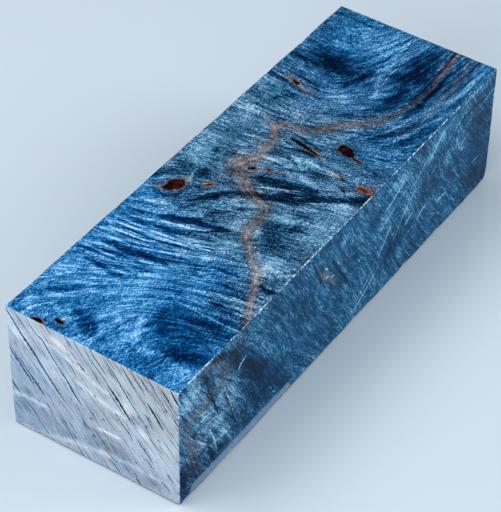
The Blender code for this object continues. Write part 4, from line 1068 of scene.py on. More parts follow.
@dataclass
class BlockSurface:
    """The block's surface: a gridded square block, worn, scored and tapered.

    Sizes are millimetres. The length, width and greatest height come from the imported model's box.
    """

    low: np.ndarray
    high: np.ndarray
    rise_along: float = 0.7
    rise_across: float = 1.2
    lip_depth: float = 0.15
    lip_span: tuple[float, float] = (-63.0, -25.0)
    lip_heights: tuple[float, float] = (1.4, 3.3)
    lip_fade: float = 1.5
    front_reach: float = 2.0
    arris_lines: tuple[float, ...] = (0.0, 0.12, 0.27, 0.47, 0.78, 1.25, 1.9)
    cells: tuple[int, int, int] = (160, 52, 38)
    arris_reach: float = 1.2
    ripples: tuple[float, float] = (18.2, 8.2)
    ripple_share: float = 0.6
    nick_spacing: float = 1.6
    nick_halves: tuple[float, float] = (0.25, 0.8)
    nick_sizes: tuple[float, float] = (0.2, 1.0)
    nick_share: float = 0.3
    nick_base: float = 0.4
    # How much farther an arris's painted highlight and shade reach where it is worn more.
    painted_light_swell: float = 0.4
    least_radius: float = 0.12
    wander: float = 0.035
    wander_waves: tuple = ((1.0, 5.3, 3.1, 0.0), (0.7, 2.9, -4.7, 1.0))
    wander_lift: float = 1.7
    far_turn: float = 0.85
    groove_inset: tuple[float, float] = (1.7, 2.9)
    groove_tips: tuple[float, float] = (0.04, 0.96)
    merge_steps: float = 1e5
    touching: float = 1e-6

    def __post_init__(self) -> None:
        """Works out the block's sizes and its gridded square."""
        self.length, self.width = (self.high - self.low)[:2]
        self.height = self.high[2] - self.low[2] - (self.rise_along + self.rise_across) / 2
        self.half = np.array([self.length, self.width, self.height]) / 2
        self.square, self.corners, self.counts = self._gridded()
        self.members = {face: self._on(face) for face in Face}

    def _stations(self, axis: int) -> np.ndarray:
        """The lines that cross an axis: dense at the arrises, and even between."""
        reach = self.half[axis]
        edge = np.array(self.arris_lines)
        inner = np.linspace(-reach + edge[-1], reach - edge[-1], self.cells[axis] + 1)
        return np.concatenate([-reach + edge[:-1], inner, (reach - edge[:-1])[::-1]])

    def _gridded(self) -> tuple[np.ndarray, np.ndarray, np.ndarray]:
        """The square block as one closed mesh: corners of all faces' polygons, merged where they meet.

        Returns:
            The points from the block's middle (n, 3), the polygons' corner numbers in one row, and
            each polygon's number of corners.
        """
        lines = [self._stations(axis) for axis in range(3)]
        border = len(self.arris_lines) - 1
        fineness = {
            Face.TOP: {"finer": 2}, Face.FRONT: {"finer": 2}, Face.NEAR_END: {"finer": 3}, Face.FAR_END: {},
            Face.BACK: {"coarser": 2}, Face.UNDERSIDE: {"coarser": 2},
        }
        groups = []
        for face, fine in fineness.items():
            pair = tuple(lines[axis] for axis in face.plane_axes)
            level = face.value[1] * self.half[face.value[0]]
            groups += FaceGrid(face, pair, level, border, **fine).polygons()
        loose = np.concatenate([group.reshape(-1, 3) for group in groups])
        _, first, corners = np.unique(np.round(loose * self.merge_steps).astype(np.int64), axis=0,
                                      return_index=True, return_inverse=True)
        counts = np.concatenate([np.full(len(group), group.shape[1]) for group in groups])
        return loose[first], corners.ravel(), counts

    def _on(self, face: Face) -> np.ndarray:
        """Which points lie on a face of the square block, its edges included."""
        axis, sign = face.value
        return np.abs(self.square[:, axis] - sign * self.half[axis]) < self.touching

    def _arris_gaps(self) -> np.ndarray:
        """How far each point is from each arris: the larger of its gaps to the arris's two faces."""
        gaps = []
        for arris in ARRISES:
            others = [axis for axis in range(3) if axis != arris.along]
            pair = [np.abs(self.square[:, axis] - sign * self.half[axis])
                    for axis, sign in zip(others, arris.side)]
            gaps.append(np.maximum(*pair))
        return np.array(gaps)

    def _radius(self, arris: Arris, number: int, rng: np.random.Generator) -> np.ndarray:
        """An arris's worn radius at every point.

        It is the arris's own radius with two waves on it, plus a bell-shaped swelling for each
        chip, and for many small nicks spread at random along it. A nick's depth grows with the cube
        of a random size and with the arris's radius.
        """
        place = self.square[:, arris.along]
        long_wave = np.sin(math.tau * place / self.ripples[0] + number)
        short_wave = np.sin(math.tau * place / self.ripples[1] + 2 * number)
        wave = (long_wave + self.ripple_share * short_wave) / (1 + self.ripple_share)
        radius = arris.radius * (1 + arris.wave * wave)
        reach = self.half[arris.along]
        count = int(2 * reach / self.nick_spacing)
        middles = rng.uniform(-reach, reach, count)
        halves = rng.uniform(*self.nick_halves, count)
        depths = rng.uniform(*self.nick_sizes, count) ** 3 * self.nick_share * (self.nick_base + arris.radius)
        for middle, half_length, depth in (*arris.chips, *zip(middles, halves, depths)):
            radius = radius + depth * np.exp(-((place - middle) / half_length) ** 2)
        return radius

    def worn(self) -> tuple[np.ndarray, np.ndarray]:
        """The worn block's points.

        Each point of the square block is drawn back to the block that is smaller by the arris
        radius on every side, and then pushed out from there by that radius. Flat faces stay where
        they are and the arrises become uneven rounds. Each arris counts by exp(-(gap/reach)^2). Its
        painted light, a highlight above zero and a shade below, shows farther where it is worn more.

        Returns:
            The worn points from the block's middle, and the painted light of the arrises around
            them: a painted highlight above zero and a painted shade below.
        """
        rng = np.random.default_rng(SEED)
        gaps = self._arris_gaps()
        weights = np.exp(-(gaps / self.arris_reach) ** 2) + FAINT
        radii = np.array([self._radius(arris, number, rng) for number, arris in enumerate(ARRISES)])
        radius = np.maximum((weights * radii).sum(0) / weights.sum(0), self.least_radius)[:, None]
        # The arrises' painted light: a highlight where the number is above zero, a shade where below.
        swell = 1 - self.painted_light_swell + self.painted_light_swell * radii / radii.mean(1, keepdims=True)
        reach = np.array([arris.reach for arris in ARRISES])[:, None] * swell
        painted_edge_lights = np.array([arris.glint for arris in ARRISES])[:, None]
        glint = (painted_edge_lights * np.exp(-(gaps / reach) ** 2)).sum(0)
        core = np.clip(self.square, radius - self.half, self.half - radius)
        outward = self.square - core
        outward /= np.linalg.norm(outward, axis=1, keepdims=True)
        return core + outward * radius, glint

    def score_points(self, score: Score, face: Face) -> np.ndarray:
        """A score's points on an end: the far end has the near end's, turned half round and drawn in."""
        points = np.array(score.points, float)
        if face is Face.FAR_END:
            points = np.stack([-points[:, 0], self.height - points[:, 1]], -1) * self.far_turn
            points[:, 1] += self.height * (1 - self.far_turn) / 2
        return points

    def _taper(self, share: np.ndarray) -> np.ndarray:
        """The root of the sine of half a turn times the share along a score, kept above 0 at its tips."""
        return np.sqrt(np.sin(math.pi * np.clip(share, *self.groove_tips)))

    def score_depth(self) -> np.ndarray:
        """How deep the saw's grooves are at each point.

        A groove is a V: its depth falls off evenly over its half width. Its width and depth shrink
        towards both tips as the root of the sine of the share along it, and its depth fades near the
        arrises.
        """
        depth = np.zeros(len(self.square))
        for face in (Face.NEAR_END, Face.FAR_END):
            on_face = self.members[face]
            spots = self.square[on_face][:, 1:] + np.array([0, self.half[2]])
            deepest = np.zeros(len(spots))
            for score in SCORES:
                route = catmull_rom(self.score_points(score, face), SCORE_STEPS)
                taper = self._taper(np.linspace(0, 1, len(route)))
                route = np.column_stack([route, score.width / 2 * taper])
                ratio, place, _ = route_ratio(spots, route)
                groove = score.depth * np.clip(1 - ratio, 0, 1) * self._taper(place)
                deepest = np.maximum(deepest, groove)
            inset = (self.half[1:] - np.abs(self.square[on_face][:, 1:])).min(1)
            depth[on_face] = np.maximum(depth[on_face], deepest * smooth_step(inset, *self.groove_inset))
        return depth

    def lip(self) -> np.ndarray:
        """How fully the front's bottom lip stands out at each height and place, from 0 to 1."""
        x, height = self.square[:, 0], self.square[:, 2] + self.half[2]
        low, high = self.lip_heights
        start, end = self.lip_span
        share = 1 - np.clip((height - low) / (high - low), 0, 1)
        share *= smooth_step(x, start - self.lip_fade, start + self.lip_fade)
        return share * (1 - smooth_step(x, end - self.lip_fade, end + self.lip_fade))

    def shaped(self) -> tuple[np.ndarray, dict[str, np.ndarray]]:
        """The finished points in the row's frame, and what was measured on the way.

        The long sides wander in and out by slanting sine waves. The top rises by the tilt, which
        stretches every height by the same share.

        Returns:
            The points (n, 3), and the painted edge light and lip of each.
        """
        points, glint = self.worn()
        lip = self.lip()
        fade = np.clip(1 - (self.square[:, 1] + self.half[1]) / self.front_reach, 0, 1)
        points[:, 1] += self.lip_depth * (1 - lip) * fade
        x, y, z = self.square.T
        wander = self.wander * (waves(x, z, self.wander_waves) + self.wander_lift)
        for face in (Face.FRONT, Face.BACK):
            gap = np.abs(y - face.value[1] * self.half[1])
            points[:, 1] -= face.value[1] * wander * np.clip(1 - gap / self.front_reach, 0, 1)
        depth = self.score_depth()
        for face in (Face.NEAR_END, Face.FAR_END):
            points[self.members[face], 0] -= face.value[1] * depth[self.members[face]]
        tilt = (self.rise_along * points[:, 0] / self.length
                + self.rise_across * points[:, 1] / self.width) / self.height
        points[:, 2] = (points[:, 2] + self.half[2]) * (1 + tilt)
        return points, {"glint": glint, "lip": lip}


@dataclass
class SurfacePainter:
    """Works out what the finish reads at every point of the surface: grain, tone, veins and wear."""

    surface: BlockSurface
    grain: GrainField
    front_slant: float = 0.62
    back_slant: float = -0.4
    sway: tuple = ((0.8, 9.0, 6.0, 0.0), (0.3, 2.7, -3.4, 0.0))
    band_edge: tuple[float, float] = (0.4, 1.5)
    waver: tuple[tuple[float, float], ...] = ((7.0, 0.12), (3.1, 0.08), (1.4, 0.05))
    far_ratio: float = 4.0
    far_gap: float = 2.0
    apart: float = 2.9
    score_full: float = 0.16
    score_spread: float = 1.3
    score_tip: float = 0.3
    pore_reach: tuple[float, float] = (0.1, 0.12)
    pore_strength: float = 0.9

    def _spots(self, face: Face) -> np.ndarray:
        """The points of a face in its own two coordinates, with heights from the underside."""
        spots = self.surface.square + np.array([0, 0, self.surface.half[2]])
        return spots[self.surface.members[face]][:, list(face.plane_axes)]

    def _spread(self, face: Face, values: np.ndarray) -> np.ndarray:
        """A face's values, with 0 at the points of other faces."""
        whole = np.zeros(len(self.surface.square))
        whole[self.surface.members[face]] = values
        return whole

    def flow(self) -> np.ndarray:
        """Grain coordinates of each point: along, across, and depth below the top.

        On the top, the underside and the ends they are the grain field's at (x, y). On a long side
        the grain runs slanting down: across is x + slant (depth below the top) with a slow sway, and
        along is the depth.
        """
        x, y, z = self.surface.square.T
        depth = self.surface.half[2] - z
        grain = np.column_stack([self.grain.sample(x, y), depth])
        for face, slant in ((Face.FRONT, self.front_slant), (Face.BACK, self.back_slant)):
            side = self.surface.members[face]
            grain[side, 0] = depth[side]
            grain[side, 1] = (x - slant * depth + waves(x, depth, self.sway))[side]
            grain[side, 2] = y[side]
        return grain

    def _wavered(self, spots: np.ndarray) -> np.ndarray:
        """The spots moved about by a few random sine waves, which makes drawn edges uneven."""
        rng = np.random.default_rng(SEED)
        moved = spots.copy()
        for wavelength, size in self.waver:
            for _ in range(3):
                turn = rng.uniform(0, math.tau)
                heading = np.array([math.cos(turn), math.sin(turn)]) / wavelength
                phase = spots @ heading * math.tau + rng.uniform(0, math.tau)
                push = rng.uniform(0, math.tau)
                moved += size * np.sin(phase)[:, None] * np.array([math.cos(push), math.sin(push)])
        return moved

    def tone(self) -> np.ndarray:
        """The sum of each face's patches and bands.

        A patch adds its tone times exp(-r^2), with r in its radii. A band adds its tone where the
        distance in half widths is small, fading smoothly from half its width to well outside it.
        """
        tone = np.zeros(len(self.surface.square))
        for face, figure in FIGURES.items():
            spots = self._wavered(self._spots(face))
            here = np.zeros(len(spots))
            for band in figure.bands:
                if not band.thin or face not in DRAWN:
                    ratio = route_ratio(spots, band.route(STEPS))[0]
                    here += band.tone * (1 - smooth_step(ratio, *self.band_edge))
            for patch in figure.patches:
                offset = spots - np.array(patch.middle)
                turn = math.radians(patch.slant)
                long_way = offset @ np.array([math.cos(turn), math.sin(turn)]) / patch.radii[0]
                cross_way = offset @ np.array([-math.sin(turn), math.cos(turn)]) / patch.radii[1]
                here += patch.tone * np.exp(-(long_way**2 + cross_way**2))
            tone[self.surface.members[face]] = here
        return tone

    def brown(self) -> dict[str, np.ndarray]:
        """Where each point lies by the nearest brown vein.

        Returns:
            vein, the distance in half widths; vein_strength and vein_pale, that vein's strength and
            paleness; and vein_run, a vector of the millimetres along the vein and across it.
        """
        ratio = np.full(len(self.surface.square), self.far_ratio)
        strength, pale = np.zeros((2, len(self.surface.square)))
        run = np.zeros((len(self.surface.square), 3))
        for face, figure in FIGURES.items():
            on_face = np.flatnonzero(self.surface.members[face])
            spots = self._wavered(self._spots(face))
            for vein in figure.veins:
                route = catmull_rom(np.array(vein.points, float), STEPS)
                here, place, across = route_ratio(spots, route[:, :3])
                nearer = here < ratio[on_face]
                chosen = on_face[nearer]
                place = place[nearer] * (len(route) - 1)
                lengths = np.linalg.norm(np.diff(route[:, :2], axis=0), axis=1)
                number = np.arange(len(route))
                ratio[chosen] = here[nearer]
                strength[chosen] = vein.strength
                pale[chosen] = np.interp(place, number, route[:, 3])
                run[chosen, 0] = np.interp(place, number, np.concatenate([[0], np.cumsum(lengths)]))
                run[chosen, 1] = across[nearer]
        return {"vein": ratio, "vein_strength": strength, "vein_pale": pale, "vein_run": run}

    def strokes(self, name: str, tables: dict[Face, tuple[Line, ...]], count: int) -> dict[str, np.ndarray]:
        """Fine lines on some faces, as stroke_field gives them for each layer.

        Args:
            name: The name that the values start with.
            tables: The lines of each face.
            count: How many layers the lines are shared out among.

        Returns:
            The distance, name_gap_number, and the strength, name_number, of each layer.
        """
        values = {}
        layers = {face: stroke_layers(lines, count, self.apart) for face, lines in tables.items()}
        for number in range(count):
            gap = np.full(len(self.surface.square), self.far_ratio)
            strength = np.zeros(len(self.surface.square))
            for face, shared in layers.items():
                on_face = self.surface.members[face]
                if shared[number]:
                    gap[on_face], strength[on_face] = stroke_field(self._spots(face), shared[number])
            values |= {f"{name}_gap_{number}": gap, f"{name}_{number}": strength}
        return values

    def score_lines(self, face: Face) -> tuple[Line, ...]:
        """The saw's scores and the pores of an end as lines."""
        drawn = [
            Line(tuple(map(tuple, self.surface.score_points(score, face))), self.score_spread * score.width,
                 score.depth / self.score_full, self.score_tip)
            for score in SCORES
        ]
        dy, dz = self.pore_reach
        for y, z, radius in PORES:
            drawn.append(Line(((y - dy, z - dz), (y + dy, z + dz)), 2 * radius, self.pore_strength, 1.0))
        return tuple(drawn)

    def pockets(self) -> dict[str, np.ndarray]:
        """How far each point of the top is outside the nearest bark pocket, and that one's ember and rim.

        The distance is in millimetres to the smooth closed route through the outline's points, and
        is negative inside, where a level ray from the point crosses the route an odd number of times.
        """
        gap = np.full(len(self.surface.square), self.far_gap)
        ember, rim = np.zeros((2, len(self.surface.square)))
        on_top = np.flatnonzero(self.surface.members[Face.TOP])
        spots = self._spots(Face.TOP)
        for pocket in TOP_POCKETS:
            points = np.array(pocket.outline)
            low, high = points.min(0) - self.far_gap, points.max(0) + self.far_gap
            near = np.flatnonzero(((spots > low) & (spots < high)).all(1))
            round_trip = catmull_rom(np.vstack([points[-2:], points, points[:3]]), STEPS)
            route = round_trip[2 * STEPS:-2 * STEPS]
            outside, _, _ = route_ratio(spots[near], np.column_stack([route, np.ones(len(route))]))
            x, y = spots[near].T[:, :, None]
            (x0, y0), (x1, y1) = route[:-1].T, route[1:].T
            meeting = x0 + (y - y0) * (x1 - x0) / np.where(y1 == y0, 1, y1 - y0)
            crossed = ((y0 > y) != (y1 > y)) & (x < meeting)
            here = np.where(crossed.sum(1) % 2, -outside, outside)
            nearer = here < gap[on_top[near]]
            gap[on_top[near][nearer]] = here[nearer]
            ember[on_top[near][nearer]] = pocket.ember
            rim[on_top[near][nearer]] = pocket.rim
        return {"pocket": gap, "ember": ember, "rim": rim}

    def soft_strokes(self, face: Face, lines: tuple[Line, ...]) -> np.ndarray:
        """Soft strokes on a face: the sum of each line's strength times exp(-ratio^2)."""
        spots = self._spots(face)
        amount = np.zeros(len(spots))
        for line in lines:
            points = np.array(line.points, float)
            route = catmull_rom(np.column_stack([points, np.full(len(points), line.width / 2)]), STEPS)
            amount += line.strength * np.exp(-route_ratio(spots, route)[0] ** 2)
        return self._spread(face, amount)

    def striped(self) -> np.ndarray:
        """How strongly the top shows fine even stripes: the sum of soft ovals, kept below 1."""
        spots = self._spots(Face.TOP)
        amount = np.zeros(len(spots))
        for patch in STRIPED:
            offset = (spots - np.array(patch.middle)) / np.array(patch.radii)
            amount += patch.tone * np.exp(-(offset**2).sum(1))
        return self._spread(Face.TOP, np.minimum(amount, 1))

    def face_share(self, *faces: Face) -> np.ndarray:
        """1 on the given faces and 0 elsewhere."""
        return np.any([self.surface.members[face] for face in faces], axis=0).astype(float)

    def attributes(self, measured: dict[str, np.ndarray]) -> dict[str, np.ndarray]:
        """Every named value that the finish reads.

        Args:
            measured: The painted edge light and lip of each point.

        Returns:
            Arrays by attribute name.
        """
        ends = {face: self.score_lines(face) for face in (Face.NEAR_END, Face.FAR_END)}
        drawn = {
            face: (*lines, *(band for band in FIGURES[face].bands if band.thin))
            for face, lines in DRAWN.items()
        }
        return {
            **self.brown(),
            **self.pockets(),
            **self.strokes("line", drawn, LINE_LAYERS),
            **self.strokes("score", ends, SCORE_LAYERS),
            "grain": self.flow(),
            "tone": self.tone(),
            "striped": self.striped(),
            # The painted highlight and painted shade on the arrises.
            "glint": measured["glint"],
            "lip": measured["lip"] * self.face_share(Face.FRONT),
            "cream": self.soft_strokes(Face.NEAR_END, END_CREAMS),
            "on_top": self.face_share(Face.TOP),
            "on_front": self.face_share(Face.FRONT),
            "on_side": self.face_share(Face.FRONT, Face.BACK, Face.UNDERSIDE),
            "on_end": self.face_share(Face.NEAR_END, Face.FAR_END),
        }


Socket = bpy.types.NodeSocket


def linear(red: int, green: int, blue: int) -> tuple[float, float, float, float]:
    """A colour as the shader takes it, from its screen values of 0 to 255."""
    def open_up(value: float) -> float:
        """One channel, by the sRGB curve."""
        return value / 12.92 if value <= 0.04045 else ((value + 0.055) / 1.055) ** 2.4
    return (*(open_up(value / 255) for value in (red, green, blue)), 1.0)


class Channel:
    """A number on a shader socket, on which Python's operators add Math nodes."""

    def __init__(self, graph: "Graph", socket: Socket) -> None:
        """Wraps an output socket of a graph."""
        self.graph = graph
        self.socket = socket

    def _math(self, operation: str, *values: "Channel | float", clamp: bool = False) -> "Channel":
        """The result of one Math node."""
        node = self.graph.node("ShaderNodeMath", {"operation": operation, "use_clamp": clamp},
                               dict(enumerate(values)))
        return Channel(self.graph, node.outputs[0])

    def __add__(self, other: "Channel | float") -> "Channel":
        """This number and another, added."""
        return self._math("ADD", self, other)

    __radd__ = __add__

    def __sub__(self, other: "Channel | float") -> "Channel":
        """This number less another."""
        return self._math("SUBTRACT", self, other)

    def __rsub__(self, other: "Channel | float") -> "Channel":
        """Another number less this one."""
        return self._math("SUBTRACT", other, self)

    def __mul__(self, other: "Channel | float") -> "Channel":
        """This number times another."""
        return self._math("MULTIPLY", self, other)

    __rmul__ = __mul__

    def __abs__(self) -> "Channel":
        """This number without its sign."""
        return self._math("ABSOLUTE", self)

    def clamped(self) -> "Channel":
        """This number kept between 0 and 1."""
        return self._math("ADD", self, 0.0, clamp=True)

    def step(self, low: float, high: float) -> "Channel":
        """A smooth rise from 0 at low to 1 at high, or a fall where low is above high."""
        ends = {"From Min": min(low, high), "From Max": max(low, high)}
        rising = {"To Min": 0.0, "To Max": 1.0} if low < high else {"To Min": 1.0, "To Max": 0.0}
        node = self.graph.node("ShaderNodeMapRange", {"interpolation_type": "SMOOTHSTEP"},
                               {"Value": self, **ends, **rising})
        return Channel(self.graph, node.outputs[0])


class Graph:
    """A material's nodes, added one by one."""

    def __init__(self, material: bpy.types.Material) -> None:
        """Starts from no nodes."""
        material.use_nodes = True
        self.tree = material.node_tree
        self.tree.nodes.clear()

    def node(self, kind: str, settings: dict | None = None, inputs: dict | None = None) -> bpy.types.Node:
        """Adds one node.

        Args:
            kind: The node's type.
            settings: Its own settings, set before its sockets. A ramp's stops go under "stops".
            inputs: Values, sockets or channels, by socket name or number.

        Returns:
            The node.
        """
        made = self.tree.nodes.new(kind)
        for name, value in (settings or {}).items():
            if name == "stops":
                self._set_stops(made.color_ramp, value)
            else:
                setattr(made, name, value)
        for name, value in (inputs or {}).items():
            if isinstance(value, Channel):
                value = value.socket
            if isinstance(value, Socket):
                self.tree.links.new(value, made.inputs[name])
            else:
                made.inputs[name].default_value = value
        return made

    @staticmethod
    def _set_stops(ramp: bpy.types.ColorRamp, stops: tuple) -> None:
        """Gives a ramp its stops, each a place and a screen colour."""
        for index, (place, colour) in enumerate(stops):
            element = ramp.elements[index] if index < 2 else ramp.elements.new(place)
            element.position = place
            element.color = linear(*colour)

    def attribute(self, name: str) -> Channel:
        """A named value of the surface."""
        return Channel(self, self.node("ShaderNodeAttribute", {"attribute_name": name}).outputs["Fac"])

    def attribute_vector(self, name: str) -> Socket:
        """A named vector of the surface."""
        return self.node("ShaderNodeAttribute", {"attribute_name": name}).outputs["Vector"]

    def vector(self, operation: str, *values: Socket | tuple[float, ...]) -> Socket:
        """The vector that a Vector Math node gives."""
        node = self.node("ShaderNodeVectorMath", {"operation": operation}, dict(enumerate(values)))
        return node.outputs["Vector"]

    def distance(self, where: Socket, spot: tuple[float, ...]) -> Channel:
        """How far the coordinates are from a spot."""
        node = self.node("ShaderNodeVectorMath", {"operation": "DISTANCE"}, {0: where, 1: spot})
        return Channel(self, node.outputs["Value"])

    def parts(self, vector: Socket) -> tuple[Channel, ...]:
        """The three numbers of a vector."""
        split = self.node("ShaderNodeSeparateXYZ", None, {0: vector})
        return tuple(Channel(self, output) for output in split.outputs)

    def joined(self, *values: Channel | float) -> Socket:
        """The vector of up to three numbers."""
        return self.node("ShaderNodeCombineXYZ", None, dict(enumerate(values))).outputs[0]

    def noise(self, where: Socket, stretch: float | tuple[float, ...], detail: float, rough: float,
              shift: float, distortion: float = 0.0) -> Channel:
        """Cloudy noise about 0, with this many cells a millimetre along each axis.

        Args:
            where: The coordinates, in millimetres.
            stretch: Cells a millimetre, for all three axes or for each.
            detail: How many finer octaves are added.
            rough: How strong each finer octave is against the one before.
            shift: An offset that makes the noise another one.
            distortion: How far the noise is bent by itself.

        Returns:
            The noise, about -0.5 to 0.5.
        """
        cells = stretch if isinstance(stretch, tuple) else (stretch,) * 3
        place = self.vector("MULTIPLY_ADD", where, cells, (shift, shift * 1.7, shift * 2.3))
        node = self.node("ShaderNodeTexNoise", {"noise_dimensions": "3D"},
                         {"Vector": place, "Scale": 1.0, "Detail": detail, "Roughness": rough,
                          "Distortion": distortion})
        return Channel(self, node.outputs["Fac"]) - 0.5

    def ramp(self, value: Channel, stops: tuple) -> Socket:
        """A colour looked up by a number."""
        return self.node("ShaderNodeValToRGB", {"stops": stops}, {"Fac": value}).outputs["Color"]

    def mix(self, factor: Channel | float, first: Socket | tuple, second: Socket | tuple) -> Socket:
        """A mix of two colours."""
        node = self.node("ShaderNodeMix", {"data_type": "RGBA"}, {0: factor, 6: first, 7: second})
        return node.outputs[2]


@dataclass(frozen=True)
class BurlFinish:
    """The burl's colours and gloss.

    Ramps run from the darkest wood to the palest, and colours are screen values. The saw's blade
    turned about two axles, one for the painted highlights in its scratches and one for the chatter
    of a later pass. A rust spot is a place on a vein, the distances at which its rust is gone and
    full, and its share.
    """

    name: str = "burl_wood"
    royal: tuple = (
        (0.0, (0, 18, 52)), (0.16, (0, 50, 100)), (0.36, (4, 78, 133)), (0.5, (29, 106, 163)),
        (0.65, (67, 143, 201)), (0.82, (112, 180, 232)), (1.0, (190, 228, 246)),
    )
    slate: tuple = (
        (0.0, (0, 9, 26)), (0.16, (2, 27, 53)), (0.36, (20, 60, 92)), (0.5, (49, 95, 131)),
        (0.65, (86, 135, 172)), (0.82, (122, 172, 208)), (1.0, (198, 224, 232)),
    )
    teal: tuple = (
        (0.0, (0, 10, 32)), (0.16, (0, 29, 63)), (0.36, (3, 56, 98)), (0.5, (21, 81, 126)),
        (0.65, (50, 112, 160)), (0.82, (86, 148, 198)), (1.0, (160, 206, 236)),
    )
    sawn: tuple = (
        (0.0, (0, 28, 58)), (0.16, (2, 46, 82)), (0.36, (6, 67, 106)), (0.5, (14, 83, 125)),
        (0.65, (42, 111, 154)), (0.82, (88, 153, 194)), (1.0, (162, 208, 230)),
    )
    tan: tuple = (
        (0.0, (20, 16, 24)), (0.25, (52, 46, 52)), (0.5, (98, 94, 98)), (0.75, (142, 138, 138)),
        (1.0, (204, 196, 184)),
    )
    bark: tuple = ((0.0, (6, 4, 8)), (0.45, (14, 6, 10)), (0.72, (62, 18, 26)), (1.0, (108, 38, 44)))
    ember: tuple = ((0.0, (38, 20, 20)), (0.35, (86, 46, 38)), (0.65, (136, 80, 60)), (1.0, (184, 140, 112)))
    rim: tuple = ((0.0, (40, 20, 22)), (0.5, (98, 66, 56)), (1.0, (176, 154, 136)))
    end: tuple = (
        (0.0, (50, 78, 106)), (0.2, (106, 126, 148)), (0.5, (157, 174, 192)), (0.72, (182, 197, 213)),
        (1.0, (228, 240, 248)),
    )
    dusty: tuple = (
        (0.0, (64, 68, 76)), (0.2, (122, 127, 134)), (0.5, (170, 178, 186)), (0.72, (191, 199, 207)),
        (1.0, (232, 236, 238)),
    )
    scored: tuple = ((0.0, (34, 28, 30)), (0.35, (16, 32, 50)), (0.65, (16, 54, 88)), (1.0, (40, 96, 138)))
    halo: tuple = (176, 208, 232)
    # The lip's pale band: haze on the sawn step, and a painted reflection.
    lip_haze_and_reflection: tuple = (143, 164, 194)
    umber: tuple = (44, 38, 44)
    cream: tuple = (236, 222, 208)
    # The colour of the painted shade along the bottom arrises.
    score_colour_and_edge_shade: tuple = (14, 42, 72)
    # The colour of the painted highlight along the arrises.
    glint: tuple = (226, 236, 244)
    greener: tuple = (0.66, 1.04, 0.93)
    browner: tuple = (1.4, 0.96, 0.84)
    rustier: tuple = (1.5, 0.95, 0.74)
    royal_spot: tuple = (59.0, 8.5, 35.0)
    rust_spots: tuple = (
        ((15.8, 8.4, 34.8), (3.6, 1.2), 0.85), ((1.8, 6.8, 34.8), (4.5, 1.5), 0.5),
        ((58.0, -12.2, 34.6), (12.0, 4.0), 0.5),
    )
    scratch_highlight_axle: tuple = (59.0, 0.0, -40.0)
    chatter_axle: tuple = (59.0, 0.0, -57.0)
    score_slant: tuple = (0.61, 0.79)
    sheen: float = 0.02
    front_shade: float = 0.04
    coat_roughness: float = 0.1
    side_gloss: float = 0.03
    relief: float = 0.6

    def make(self) -> bpy.types.Material:
        """The finished material."""
        material = bpy.data.materials.new(self.name)
        graph = Graph(material)
        where = graph.vector("MULTIPLY", graph.node("ShaderNodeTexCoord").outputs["Object"], (1 / MM,) * 3)
        grain = graph.attribute_vector("grain")
        tone = self._tone(graph, where, grain)
        colour = self._wood(graph, where, tone)
        colour = self._veined(graph, where, tone, colour)
        colour = self._pocketed(graph, where, colour)
        colour = self._ended(graph, where, colour)
        colour = self._edged(graph, where, colour)
        rough = self._roughness(graph, where)
        bump = self._bump(graph, where, grain)
        shader = graph.node("ShaderNodeBsdfPrincipled", None, {
            "Base Color": colour, "Roughness": rough, "Normal": bump, "IOR": 1.5,
            "Specular IOR Level": self.sheen, "Coat Weight": self.side_gloss * graph.attribute("on_side"),
            "Coat Roughness": self.coat_roughness,
        })
        graph.node("ShaderNodeOutputMaterial", None, {"Surface": shader.outputs[0]})
        return material

    def _tone(self, graph: Graph, where: Socket, grain: Socket) -> Channel:
        """How pale the wood is, from 0 to 1: fibres, figure and stripes along the grain, the patches,
        and on the front the painted highlights in the saw's scratches.
        """
        fibre = graph.noise(grain, (0.5, 2.7, 2.7), 3, 0.75, 11)
        figure = graph.noise(grain, (0.16, 0.6, 0.5), 4, 0.6, 5, 0.5)
        stripe = graph.noise(grain, (0.035, 0.75, 0.3), 3, 0.6, 23)
        weft = graph.noise(where, (1.1, 2.56, 3.2), 3, 0.75, 33)
        mottle = graph.noise(where, 2.9, 3, 0.8, 31)
        cloud = graph.noise(where, 0.12, 3, 0.55, 41)
        ragged = graph.noise(grain, (0.35, 0.9, 0.9), 3, 0.65, 67)
        on_top, on_front = graph.attribute("on_top"), graph.attribute("on_front")
        detail = 1.3 * fibre + 0.6 * figure + 1.6 * mottle + 0.4 * cloud
        detail = detail + (0.45 + 1.3 * graph.attribute("striped")) * stripe + (1.1 * on_top) * weft
        drawn = 0.86 * graph.attribute("tone") * (1 + ragged)
        drawn = drawn + (1 + 0.5 * on_front) * self._lines(graph, where)
        # On the front the tone also gets the painted highlights in the saw's scratches.
        drawn = drawn + on_front * (self._scratch_highlights(graph, where) - self.front_shade)
        return (0.5 + (1.04 + 0.2 * on_front) * detail + 0.5 * drawn).clamped()

    @staticmethod
    def _arc(graph: Graph, where: Socket, axle: tuple) -> Channel:
        """How far the coordinates are from a line across the block, around which the saw cut arcs."""
        return graph.distance(graph.vector("MULTIPLY", where, (1, 0, 1)), axle)

    def _scratch_highlights(self, graph: Graph, where: Socket) -> Channel:
        """Painted highlights: faint light strokes on the front, in scratches along the arcs the saw's blade
        went.
        """
        arcs = graph.joined(self._arc(graph, where, self.scratch_highlight_axle), graph.parts(where)[0])
        stroke = graph.noise(arcs, (1.3, 0.14, 0), 4, 0.7, 37)
        patch = graph.noise(where, 0.11, 2, 0.5, 39)
        return stroke.step(0.06, 0.26) * (0.35 + 1.8 * patch).clamped()

    @staticmethod
    def _strokes(graph: Graph, name: str, layers: int, fray: Channel) -> Channel:
        """All layers of some fine lines: each line's strength where its frayed distance is small."""
        strokes = []
        for number in range(layers):
            gap = abs(graph.attribute(f"{name}_gap_{number}") + fray)
            strokes.append(gap.step(1.1, 0.2) * graph.attribute(f"{name}_{number}"))
        return sum(strokes[1:], strokes[0])

    def _lines(self, graph: Graph, where: Socket) -> Channel:
        """The fine lines of the top and the front, light ones above 0 and dark ones below."""
        return self._strokes(graph, "line", LINE_LAYERS, 1.8 * graph.noise(where, 1.0, 3, 0.7, 47))

